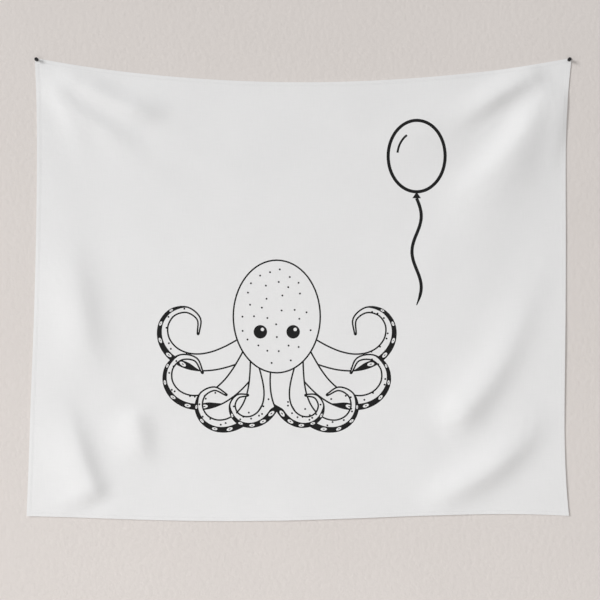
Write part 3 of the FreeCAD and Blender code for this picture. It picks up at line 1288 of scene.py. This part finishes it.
def tinted(build: Tree, amount: bpy.types.NodeSocket, low: Sequence[float], high: Sequence[float]) -> bpy.types.NodeSocket:
    """Blend two colours by an amount.

    Args:
        build: The tree.
        amount: 0 for the first colour and 1 for the second.
        low: The first colour.
        high: The second.

    Returns:
        The blended colour.
    """
    return build.add("ShaderNodeMix", {"data_type": "RGBA", "clamp_factor": False}, in_0=amount,
                     in_6=(*low, 1.0), in_7=(*high, 1.0)).outputs[2]


@dataclass(frozen=True)
class WovenFinish:
    """Light woven polyester, with a faint unevenness of its yarns."""

    name: str
    low: Sequence[float]
    high: Sequence[float]
    cut: Cut
    hem: float = 12.0 * MM
    seam: float = 9.5 * MM
    yarn: float = 0.5 * MM
    roughness: float = 0.88
    has_hem: bool = True

    def material(self) -> bpy.types.Material:
        """Build the material."""
        material, build, shader = new_material(self.name)
        place = build.add("ShaderNodeUVMap", {"uv_map": "cut"}).outputs[0]
        flat = build.add("ShaderNodeSeparateXYZ", in_0=place).outputs
        warp = build.noise(place, (1400.0, 22.0, 1.0), 3.0)
        weft = build.noise(place, (22.0, 1400.0, 1.0), 3.0)
        slubs = build.math("ADD", warp, weft)
        cloudy = build.noise(place, (5.0, 5.0, 1.0), 3.0)
        tone = build.math("ADD", build.spread(slubs, 0.2, 0.7, (0.7, 1.3)), build.spread(cloudy, 0.0, 0.2, (0.3, 0.7)))
        if self.has_hem:
            inset = build.math("MINIMUM", build.math("MINIMUM", flat[0], build.math("SUBTRACT", self.cut.width, flat[0])),
                               build.math("MINIMUM", build.math("MULTIPLY", flat[1], -1.0),
                                          build.math("ADD", flat[1], self.cut.height)))
            doubled = build.spread(inset, 1.0, 0.0, (self.hem - 0.6 * MM, self.hem + 0.6 * MM))
            near_seam = build.math("ABSOLUTE", build.math("SUBTRACT", inset, self.seam))
            seam_groove_and_painted_shade = build.spread(near_seam, 1.0, 0.0, (0.0, 1.6 * MM))
            # Painted shade: the colour is darkened in a narrow band along the stitch line's groove, where the bump also
            # dips.
            tone = build.math("SUBTRACT", tone, build.math("MULTIPLY", seam_groove_and_painted_shade, 0.15))
            ghost = build.add("ShaderNodeAttribute", {"attribute_name": "ghost"}).outputs["Fac"]
            tone = build.math("SUBTRACT", tone, build.math("MULTIPLY", ghost, 1.6))
        build.tree.links.new(tinted(build, tone, self.low, self.high), shader.inputs["Base Color"])
        over = build.math("SINE", build.math("MULTIPLY", flat[0], math.tau / self.yarn))
        under = build.math("SINE", build.math("MULTIPLY", flat[1], math.tau / self.yarn))
        weave = build.math("MULTIPLY", over, under)
        height = build.math("ADD", build.math("MULTIPLY", weave, 0.03), build.math("MULTIPLY", slubs, 0.05))
        crinkle = build.noise(place, (38.0, 30.0, 1.0), 4.0)
        height = build.math("ADD", height, build.math("MULTIPLY", crinkle, 0.3))
        if self.has_hem:
            height = build.math("ADD", height, build.math("MULTIPLY", doubled, 0.35))
            height = build.math("SUBTRACT", height, build.math("MULTIPLY", seam_groove_and_painted_shade, 0.3))
        bump = build.add("ShaderNodeBump", Strength=0.6, Distance=MM, Height=height)
        build.tree.links.new(bump.outputs[0], shader.inputs["Normal"])
        build.tree.links.new(build.spread(slubs, self.roughness - 0.05, self.roughness + 0.05, (0.7, 1.3)),
                             shader.inputs["Roughness"])
        shader.inputs["Sheen Weight"].default_value = 0.12
        shader.inputs["Specular IOR Level"].default_value = 0.25
        return material


@dataclass(frozen=True)
class YarnFinish:
    """Twisted sewing thread."""

    name: str = "sewing thread"

    def material(self) -> bpy.types.Material:
        """Build the material."""
        material, build, shader = new_material(self.name)
        place = build.add("ShaderNodeTexCoord").outputs["Object"]
        fibres = build.noise(place, (2600.0, 2600.0, 2600.0), 2.0)
        build.tree.links.new(tinted(build, fibres, (0.70, 0.70, 0.70), (0.84, 0.84, 0.84)), shader.inputs["Base Color"])
        bump = build.add("ShaderNodeBump", Strength=0.5, Distance=0.05 * MM, Height=fibres)
        build.tree.links.new(bump.outputs[0], shader.inputs["Normal"])
        shader.inputs["Roughness"].default_value = 0.6
        shader.inputs["Sheen Weight"].default_value = 0.2
        return material


@dataclass(frozen=True)
class PlasticFinish:
    """Glossy black plastic with fine handling marks."""

    name: str = "black grip plastic"

    def material(self) -> bpy.types.Material:
        """Build the material."""
        material, build, shader = new_material(self.name)
        place = build.add("ShaderNodeTexCoord").outputs["Object"]
        marks = build.noise(place, (900.0, 300.0, 900.0), 4.0)
        build.tree.links.new(tinted(build, marks, (0.006, 0.006, 0.006), (0.016, 0.016, 0.017)),
                             shader.inputs["Base Color"])
        build.tree.links.new(build.spread(marks, 0.2, 0.42, (0.35, 0.7)), shader.inputs["Roughness"])
        bump = build.add("ShaderNodeBump", Strength=0.15, Distance=0.05 * MM, Height=marks)
        build.tree.links.new(bump.outputs[0], shader.inputs["Normal"])
        return material


@dataclass(frozen=True)
class SteelFinish:
    """Drawn steel wire."""

    name: str = "needle steel"

    def material(self) -> bpy.types.Material:
        """Build the material."""
        material, build, shader = new_material(self.name)
        place = build.add("ShaderNodeTexCoord").outputs["Object"]
        drawn = build.noise(place, (6000.0, 200.0, 6000.0), 2.0)
        build.tree.links.new(tinted(build, drawn, (0.42, 0.42, 0.43), (0.62, 0.62, 0.63)), shader.inputs["Base Color"])
        build.tree.links.new(build.spread(drawn, 0.18, 0.34), shader.inputs["Roughness"])
        shader.inputs["Metallic"].default_value = 1.0
        return material


@dataclass(frozen=True)
class PaintFinish:
    """Flat paint on plaster, for the wall and the floor."""

    name: str
    low: Sequence[float]
    high: Sequence[float]
    one_sided: bool = False

    def material(self) -> bpy.types.Material:
        """Build the material. A one-sided wall can't be seen from behind and throws no shadow."""
        material, build, shader = new_material(self.name)
        place = build.add("ShaderNodeTexCoord").outputs["Object"]
        mottle = build.noise(place, (3.0, 3.0, 3.0), 4.0)
        grain = build.noise(place, (260.0, 260.0, 260.0), 3.0)
        build.tree.links.new(tinted(build, mottle, self.low, self.high), shader.inputs["Base Color"])
        trowelled = build.noise(place, (75.0, 75.0, 75.0), 4.0)
        rough = build.math("ADD", build.math("MULTIPLY", trowelled, 2.6), build.math("MULTIPLY", grain, 0.4))
        bump = build.add("ShaderNodeBump", Strength=0.5, Distance=MM, Height=rough)
        build.tree.links.new(bump.outputs[0], shader.inputs["Normal"])
        shader.inputs["Roughness"].default_value = 0.95
        shader.inputs["Specular IOR Level"].default_value = 0.1
        if self.one_sided:
            rays = build.add("ShaderNodeLightPath").outputs["Is Shadow Ray"]
            behind = build.add("ShaderNodeNewGeometry").outputs["Backfacing"]
            gone = build.add("ShaderNodeBsdfTransparent").outputs[0]
            shown = build.add("ShaderNodeMixShader", in_0=build.math("MAXIMUM", rays, behind),
                              in_1=shader.outputs[0], in_2=gone)
            out = next(n for n in material.node_tree.nodes if n.type == "OUTPUT_MATERIAL")
            build.tree.links.new(shown.outputs[0], out.inputs["Surface"])
        return material


# ---- pieces ---------------------------------------------------------------------------------


def hang(piece: bpy.types.Object, replaced: Sequence[str] = ()) -> bpy.types.Object:
    """Bake a finished cloth piece's transform into its mesh, and hide the frame's nodes that it stands for.

    Args:
        piece: The piece.
        replaced: The frame's nodes that it stands for.

    Returns:
        The piece.
    """
    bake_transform(piece)
    if replaced:
        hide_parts(*replaced)
    LOG.info("%s: %d faces", piece.name, len(piece.data.polygons))
    return piece


@dataclass
class Cloth:
    """The printed cloth, in its two halves."""

    cut: Cut
    outline: HangOutline
    wrap: Wrap
    pins: Sequence[Point]
    step: float = 8.0 * MM
    fine_step: float = 4.0 * MM
    bend: tuple[float, float] = (-0.570, -0.690)
    corner: float = 0.060
    thickness: float = 0.3 * MM
    ink_face: float = 0.22 * MM
    ink_back: float = 0.05 * MM
    picture: Point = (-0.073, -0.674)
    plan: FlatPlan = field(init=False)

    def to_cut(self, place: Point) -> Point:
        """Bring a place in the picture, in millimetres, to its place on the flat cloth."""
        x, z = self.picture[0] + place[0] * MM, self.picture[1] + place[1] * MM
        across, down = self.outline.shares(np.float64(x), np.float64(z))
        return float(across) * self.cut.width, -float(down) * self.cut.height

    def lay_out(self) -> None:
        """Triangulate the flat cloth with the drawing on it."""
        drawing = [*OctopusDrawing().patches(), *BalloonDrawing().patches()]
        placed: dict[Point, Point] = {}
        patches = []
        for patch in drawing:
            for corner in patch.outline:
                if corner not in placed:
                    placed[corner] = self.to_cut(corner)
            patches.append(Patch(tuple(placed[corner] for corner in patch.outline), patch.tone))
        columns = round(self.cut.width / self.step)
        across = np.linspace(0, self.cut.width, columns + 1)
        rows = [np.arange(0, -self.bend[0], self.step), np.arange(-self.bend[0], -self.bend[1], self.fine_step),
                np.linspace(-self.bend[1], self.cut.height, round((self.cut.height + self.bend[1]) / self.step))]
        down = -np.unique(np.concatenate([*rows, [self.cut.split]]))[::-1]
        down = np.sort(down)[::-1]
        near = np.arange(0.5, self.corner / self.fine_step) * self.fine_step
        side, drop = np.meshgrid(near, -near)
        left = np.stack([side.ravel(), drop.ravel()], axis=-1)
        right = np.stack([self.cut.width - side.ravel(), drop.ravel()], axis=-1)
        self.plan = FlatPlan(across, down, np.concatenate([left, right]), patches, self.pins)
        LOG.info("cloth plan: %d points, %d triangles", len(self.plan.points), len(self.plan.triangles))

    @staticmethod
    def mark_ghost(sheet: bpy.types.Object, inked: np.ndarray) -> None:
        """Mark the faces on the cloth's back where the print shows through faintly.

        Args:
            sheet: The flat cloth.
            inked: Whether each triangle of its face is printed.
        """
        shown = np.zeros(len(sheet.data.polygons), np.float32)
        shown[len(inked):2 * len(inked)] = inked
        sheet.data.attributes.new("ghost", "FLOAT", "FACE").data.foreach_set("value", shown)

    def build(self, woven: bpy.types.Material, ink: bpy.types.Material) -> dict[Half, list[bpy.types.Object]]:
        """Make the cloth and its print.

        Args:
            woven: The cloth's material.
            ink: The print's material.

        Returns:
            Each half's cloth and print.
        """
        self.lay_out()
        replaced = {Half.UPPER: ("corner_left", "corner_right", "panel_upper"), Half.LOWER: ("panel_lower",)}
        made = {}
        for half in Half:
            inside = self.plan.half(self.cut, half)
            sheet = slab(f"cloth_{half.value}", self.plan, inside, level(-0.5 * self.thickness),
                         level(0.5 * self.thickness))
            self.mark_ghost(sheet, self.plan.inked[inside])
            printed = slab(f"print_{half.value}", self.plan, inside & self.plan.inked, level(self.ink_back),
                           level(self.ink_face))
            self.wrap.apply(sheet, woven)
            self.wrap.apply(printed, ink)
            hang(sheet, replaced[half])
            hang(printed)
            made[half] = [sheet, printed]
        return made


@dataclass
class Hems:
    """The four turned edges, sewn down on the cloth's back."""

    cut: Cut
    wrap: Wrap
    pins: Sequence[Point]
    width: float = 12.0 * MM
    front: float = -0.17 * MM
    back: float = -0.75 * MM
    lap: float = 0.55 * MM
    step: float = 6.0 * MM

    def strips(self) -> list[tuple[str, Edge, Half, float, float]]:
        """Give each strip's name, edge and half, and where it runs from and to along its edge."""
        tuck = 1.2 * MM
        low = self.cut.height - tuck
        return [
            ("hem_top", Edge.TOP, Half.UPPER, 0.0, self.cut.width),
            ("hem_left_upper", Edge.LEFT, Half.UPPER, tuck, self.cut.split),
            ("hem_right_upper", Edge.RIGHT, Half.UPPER, tuck, self.cut.split),
            ("hem_left_lower", Edge.LEFT, Half.LOWER, self.cut.split, low),
            ("hem_right_lower", Edge.RIGHT, Half.LOWER, self.cut.split, low),
            ("hem_bottom", Edge.BOTTOM, Half.LOWER, 0.0, self.cut.width),
        ]

    def inset(self, edge: Edge, places: np.ndarray) -> np.ndarray:
        """Give how far in from an edge places lie."""
        return {
            Edge.TOP: -places[:, 1],
            Edge.BOTTOM: places[:, 1] + self.cut.height,
            Edge.LEFT: places[:, 0],
            Edge.RIGHT: self.cut.width - places[:, 0],
        }[edge]

    def lapped(self, edge: Edge, places: np.ndarray) -> np.ndarray:
        """Give how much further back a strip lies, where it crosses a side hem."""
        if edge in (Edge.LEFT, Edge.RIGHT):
            return np.zeros(len(places))
        side = np.minimum(places[:, 0], self.cut.width - places[:, 0])
        return self.lap * (1 - ease_array((side - self.width) / (3 * MM)))

    def strip(self, name: str, edge: Edge, start: float, stop: float) -> bpy.types.Object:
        """Make one strip flat.

        Args:
            name: Its name.
            edge: The edge that it follows.
            start: Where it starts along the edge.
            stop: Where it stops.

        Returns:
            The flat strip.
        """
        rounding = np.array([0.0, 0.12, 0.4, 1.0, 2.5, 4.0, 6.0, 8.0, 9.5, 11.0, 11.6, 11.9, 12.0]) * MM
        along = np.linspace(start, stop, max(2, round((stop - start) / self.step)))
        if edge in (Edge.TOP, Edge.BOTTOM):
            ends = np.array([0.1, 0.3, 0.6, 2.0, 12.0, 13.5, 15.0]) * MM
            across = np.unique(np.concatenate([along, ends, self.cut.width - ends]))
            down = -rounding if edge is Edge.TOP else -self.cut.height + rounding[::-1]
        else:
            across = rounding if edge is Edge.LEFT else self.cut.width - rounding[::-1]
            down = -along
        holes = [pin for pin in self.pins if across[0] < pin[0] < across[-1] and down[-1] < pin[1] < down[0]]
        plan = FlatPlan(across, down, holes=holes)

        def face(places: np.ndarray) -> np.ndarray:
            inset = self.inset(edge, places)
            curl = np.sqrt(np.clip(1 - (1 - inset / (0.5 * MM)) ** 2, 0, 1)) * (inset < 0.5 * MM) + (inset >= 0.5 * MM)
            return self.front - 0.2 * MM * (1 - curl) - self.lapped(edge, places)

        def back(places: np.ndarray) -> np.ndarray:
            inset = self.inset(edge, places)
            rim = np.minimum(inset, np.minimum(places[:, 0], self.cut.width - places[:, 0]))
            outer = np.sqrt(np.clip(1 - (1 - np.minimum(rim / (0.6 * MM), 1)) ** 2, 0, 1))
            inner = np.sqrt(np.clip(1 - (1 - np.minimum((self.width - inset) / (0.4 * MM), 1)) ** 2, 0, 1))
            pulled = 0.08 * MM * np.exp(-(((inset - 9.5 * MM) / (0.9 * MM)) ** 2))
            depth = (self.front - self.back) * np.minimum(outer, inner)
            return np.minimum(self.front - 0.24 * MM - depth + pulled, self.front - 0.22 * MM) - self.lapped(edge, places)

        return slab(name, plan, np.ones(len(plan.triangles), bool), back, face)

    def build(self, finish: bpy.types.Material) -> dict[Half, list[bpy.types.Object]]:
        """Make the strips.

        Args:
            finish: Their material.

        Returns:
            Each half's strips.
        """
        made: dict[Half, list[bpy.types.Object]] = {half: [] for half in Half}
        for name, edge, half, start, stop in self.strips():
            piece = self.strip(f"turned_{name}", edge, start, stop)
            self.wrap.apply(piece, finish)
            hang(piece, (name,))
            made[half].append(piece)
        return made


@dataclass
class Stitching:
    """The lockstitch that holds the hems: one row along each edge, seen from both sides."""

    cut: Cut
    wrap: Wrap
    inset: float = 9.5 * MM
    corner: float = 10.6 * MM
    pitch: float = 3.0 * MM
    length: float = 2.5 * MM
    thread: float = 0.17 * MM
    face: float = 0.15 * MM
    back: float = -0.95 * MM

    def stitch(self) -> bpy.types.Object:
        """Make one stitch: a bar on the face and a bar on the back, each dipping into the cloth at its ends."""
        sides = 6
        shape = bmesh.new()
        for height, out in ((self.face, 1.0), (self.back, -1.0)):
            rings = []
            for share in (-1.0, -0.6, 0.0, 0.6, 1.0):
                rise = out * self.thread * (0.75 - 1.1 * share**2)
                size = self.thread * (1.0 - 0.45 * share**2)
                ring = []
                for k in range(sides):
                    angle = math.tau * k / sides
                    ring.append(shape.verts.new((
                        0.5 * self.length * share, -(height + rise + 0.8 * size * math.sin(angle)),
                        size * math.cos(angle))))
                rings.append(ring)
            for first, second in zip(rings, rings[1:]):
                for k in range(sides):
                    shape.faces.new((first[k], first[(k + 1) % sides], second[(k + 1) % sides], second[k]))
            shape.faces.new(rings[0][::-1])
            shape.faces.new(rings[-1])
        bmesh.ops.recalc_face_normals(shape, faces=shape.faces)
        mesh = bpy.data.meshes.new("one stitch")
        shape.to_mesh(mesh)
        shape.free()
        made = bpy.data.objects.new("one stitch", mesh)
        bpy.context.scene.collection.objects.link(made)
        return made

    def rows(self) -> list[tuple[str, Half, Point, Point]]:
        """Give each row's name and half, and its two ends on the flat cloth."""
        right = self.cut.width - self.inset
        split = -self.cut.split
        low = -self.cut.height
        gap = 0.5 * self.pitch
        return [
            ("top", Half.UPPER, (self.corner, -self.inset), (self.cut.width - self.corner, -self.inset)),
            ("left_upper", Half.UPPER, (self.inset, -self.corner), (self.inset, split + gap)),
            ("right_upper", Half.UPPER, (right, -self.corner), (right, split + gap)),
            ("left_lower", Half.LOWER, (self.inset, split - gap), (self.inset, low + 2 * MM)),
            ("right_lower", Half.LOWER, (right, split - gap), (right, low + 2 * MM)),
            ("bottom", Half.LOWER, (2 * MM, low + self.inset), (self.cut.width - 2 * MM, low + self.inset)),
        ]

    def build(self, finish: bpy.types.Material) -> dict[Half, list[bpy.types.Object]]:
        """Sew the rows.

        Args:
            finish: The thread's material.

        Returns:
            Each half's rows.
        """
        stitch = self.stitch()
        made: dict[Half, list[bpy.types.Object]] = {half: [] for half in Half}
        for name, half, start, stop in self.rows():
            mesh = bpy.data.meshes.new(name)
            mesh.from_pydata([(start[0], 0, start[1]), (stop[0], 0, stop[1])], [(0, 1)], [])
            piece = bpy.data.objects.new(f"stitches_{name}", mesh)
            bpy.context.scene.collection.objects.link(piece)
            self.wrap.apply(piece, finish, stitch, self.pitch)
            piece.data.attributes.remove(piece.data.attributes["lift"])
            hang(piece, (f"thread_{name}",))
            made[half].append(piece)
        bpy.data.meshes.remove(stitch.data)
        return made


@dataclass
class PushPin:
    """A push pin: a moulded grip on a steel needle."""

    side: str
    pull: float = 0.0
    facets: int = 56

    def turned(self, name: str, profile: Sequence[Point], x: float, z: float) -> bpy.types.Object:
        """Turn a profile about the pin's axis.

        Args:
            name: The piece's name.
            profile: Points as (y, radius), from the room to the wall. It starts and ends on the axis.
            x: The axis, across.
            z: The axis, up.

        Returns:
            The turned piece.
        """
        shape = bmesh.new()
        rings: list[list[bmesh.types.BMVert]] = []
        for y, radius in profile:
            if radius < 1e-7:
                rings.append([shape.verts.new((x, y, z))])
                continue
            rings.append([
                shape.verts.new((x + radius * math.cos(math.tau * k / self.facets), y,
                                 z + radius * math.sin(math.tau * k / self.facets)))
                for k in range(self.facets)])
        for first, second in zip(rings, rings[1:]):
            for k in range(self.facets):
                n = (k + 1) % self.facets
                corners = [first[k % len(first)], first[n % len(first)], second[n % len(second)], second[k % len(second)]]
                shape.faces.new(list(dict.fromkeys(corners)))
        bmesh.ops.recalc_face_normals(shape, faces=shape.faces)
        mesh = bpy.data.meshes.new(name)
        shape.to_mesh(mesh)
        shape.free()
        mesh.shade_smooth()
        made = bpy.data.objects.new(name, mesh)
        bpy.context.scene.collection.objects.link(made)
        return made

    def build(self, plastic: bpy.types.Material, steel: bpy.types.Material) -> list[bpy.types.Object]:
        """Make the pin.

        Args:
            plastic: The grip's material.
            steel: The needle's material.

        Returns:
            The grip and the needle.
        """
        low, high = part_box(f"{self.side}_pin_grip")
        x, z = 0.5 * (low.x + high.x), 0.5 * (low.z + high.z)
        outer = 0.5 * (high.x - low.x)
        front, foot = low.y, high.y
        length = foot - front
        waist, base = 0.6 * outer, 0.92 * outer

        def arc(centre_y: float, centre_r: float, size: float, start: float, stop: float, steps: int = 6) -> list[Point]:
            angles = [math.radians(start + (stop - start) * k / steps) for k in range(steps + 1)]
            return [(centre_y + size * math.cos(a), centre_r + size * math.sin(a)) for a in angles]

        crown = [(front + 0.10 * MM * (1 - (1 - k / 6) ** 2), (outer - 0.6 * MM) * k / 6) for k in range(6)]
        rim = arc(front + 0.65 * MM, outer - 0.55 * MM, 0.55 * MM, 180, 20)
        neck_points = ((front + 1.55 * MM, 0.82 * outer), (front + 2.4 * MM, 0.68 * outer),
                       (front + 0.38 * length, waist), (front + 0.62 * length, waist * 0.98),
                       (foot - 2.5 * MM, 0.70 * outer), (foot - 1.55 * MM, 0.84 * outer))
        neck = smooth_path(neck_points, 5)
        sole = arc(foot - 0.5 * MM, base - 0.45 * MM, 0.45 * MM, 150, 0, 6)
        profile = [(crown[0][0], 0.0), *crown[1:], *rim, *neck, *sole, (foot, base - 1.0 * MM), (foot, 0.0)]
        grip = self.turned(f"{self.side}_push_pin_grip", profile, x, z)
        low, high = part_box(f"{self.side}_pin_needle")
        shank, wire = 0.5 * (high.x - low.x), 0.55 * MM
        tip = high.y
        needle_profile = [(low.y, 0.0), (low.y, shank), (foot - 0.05 * MM, shank), (-0.1 * MM, wire),
                          (tip - 2.5 * MM, wire), (tip - 1.2 * MM, 0.62 * wire), (tip - 0.35 * MM, 0.2 * wire), (tip, 0.0)]
        needle = self.turned(f"{self.side}_push_pin_needle", needle_profile, x, z)
        for piece, material, slot, node in ((grip, plastic, "grip", "grip"), (needle, steel, "needle", "needle")):
            piece.data.materials.append(material)
            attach(piece, f"{self.side}_pin")
            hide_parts(f"{self.side}_pin_{node}")
            LOG.info("%s: %d faces", piece.name, len(piece.data.polygons))
        return [grip, needle]


# ---- the studio -----------------------------------------------------------------------------


@dataclass
class Studio:
    """The wall behind, the floor below, the lights and the camera."""

    wall_y: float = 0.25 * MM
    floor_z: float = -1.75
    reach: float = 6.0
    eye: tuple[float, float, float] = (-0.0084, -3.6, -0.6736)
    view_width: float = 1.684

    def plane(self, name: str, corners: Sequence[Sequence[float]], finish: PaintFinish) -> None:
        """Add a stage surface.

        Args:
            name: Its name.
            corners: Its four corners.
            finish: Its paint.
        """
        made = mesh_object(name, np.array(corners), [(0, 1, 2, 3)])
        made.data.materials.append(finish.material())

    def light(self, name: str, place: Sequence[float], aim: Sequence[float], size: float, power: float,
              colour: Sequence[float] = (1.0, 1.0, 1.0)) -> None:
        """Add a soft light.

        Args:
            name: Its name.
            place: Where it stands.
            aim: The point that it faces.
            size: Its width and height.
            power: Its power in watts.
            colour: Its colour.
        """
        lamp = bpy.data.lights.new(name, "AREA")
        lamp.shape = "DISK"
        lamp.size = size
        lamp.energy = power
        lamp.color = colour
        made = bpy.data.objects.new(name, lamp)
        made.location = place
        made.rotation_euler = (Vector(aim) - Vector(place)).to_track_quat("-Z", "Y").to_euler()
        bpy.context.scene.collection.objects.link(made)

    def build(self) -> None:
        """Set up the wall, the floor, the lights and the camera."""
        far, y, z = self.reach, self.wall_y, self.floor_z
        self.plane("wall", [(-far, y, z), (far, y, z), (far, y, far), (-far, y, far)],
                   PaintFinish("wall paint", (0.665, 0.624, 0.599), (0.695, 0.654, 0.629), one_sided=True))
        self.plane("floor", [(-far, -far, z), (far, -far, z), (far, far, z), (-far, far, z)],
                   PaintFinish("pale floor", (0.62, 0.61, 0.60), (0.68, 0.67, 0.66)))
        sun = bpy.data.lights.new("window light", "SUN")
        sun.energy = 2.31
        sun.angle = math.radians(22)
        window = bpy.data.objects.new("window light", sun)
        window.rotation_euler = Vector((0.80, 0.56, -0.30)).to_track_quat("-Z", "Y").to_euler()
        bpy.context.scene.collection.objects.link(window)
        self.light("floor bounce", (0.4, -2.4, -1.6), (0.2, 0.0, -1.2), 1.6, 5.0)
        self.light("lamp at the left", (-2.1, -2.1, -1.3), (-0.6, 0.0, -0.95), 1.2, 10.0)
        self.light("back fill", (0.6, 3.0, 0.3), (0.0, 0.0, -0.65), 2.0, 60.0)
        world = bpy.data.worlds.new("room")
        world.use_nodes = True
        sky = world.node_tree.nodes["Background"]
        sky.inputs["Color"].default_value = (1.0, 1.0, 1.0, 1.0)
        sky.inputs["Strength"].default_value = 0.43
        bpy.context.scene.world = world
        lens = bpy.data.cameras.new("camera")
        lens.sensor_width = 36.0
        lens.lens = -self.eye[1] * lens.sensor_width / self.view_width
        camera = bpy.data.objects.new("camera", lens)
        camera.location = self.eye
        camera.rotation_euler = (math.radians(90), 0, 0)
        bpy.context.scene.collection.objects.link(camera)
        bpy.context.scene.camera = camera
        bpy.context.scene.view_settings.view_transform = "Standard"


def main() -> None:
    """Build the wall hanging and its studio."""
    logging.basicConfig(level=logging.INFO, format="%(name)s: %(message)s")
    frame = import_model()
    cut = Cut()
    outline = HangOutline(frame)
    hung = HungCloth(cut, outline)
    hung.build()
    wrap = Wrap(cut, hung)
    hung_pins = [(0.5 * (low.x + high.x), 0.5 * (low.z + high.z))
                 for low, high in (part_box("left_pin_needle"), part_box("right_pin_needle"))]
    pins = []
    for x, z in hung_pins:
        across, down = outline.shares(np.float64(x), np.float64(z))
        pins.append((float(across) * cut.width, -float(down) * cut.height))
    woven = WovenFinish("printed cloth", (0.72, 0.72, 0.722), (0.80, 0.80, 0.802), cut).material()
    ink = WovenFinish("black print", (0.004, 0.004, 0.004), (0.010, 0.010, 0.0105), cut, has_hem=False).material()
    hem = WovenFinish("turned hem", (0.71, 0.71, 0.712), (0.79, 0.79, 0.792), cut, has_hem=False).material()
    cloths = Cloth(cut, outline, wrap, pins).build(woven, ink)
    hems = Hems(cut, wrap, pins).build(hem)
    rows = Stitching(cut, wrap).build(YarnFinish().material())
    plastic, steel = PlasticFinish().material(), SteelFinish().material()
    for side in ("left", "right"):
        PushPin(side).build(plastic, steel)
    Studio().build()


if __name__ == "__main__":
    main()
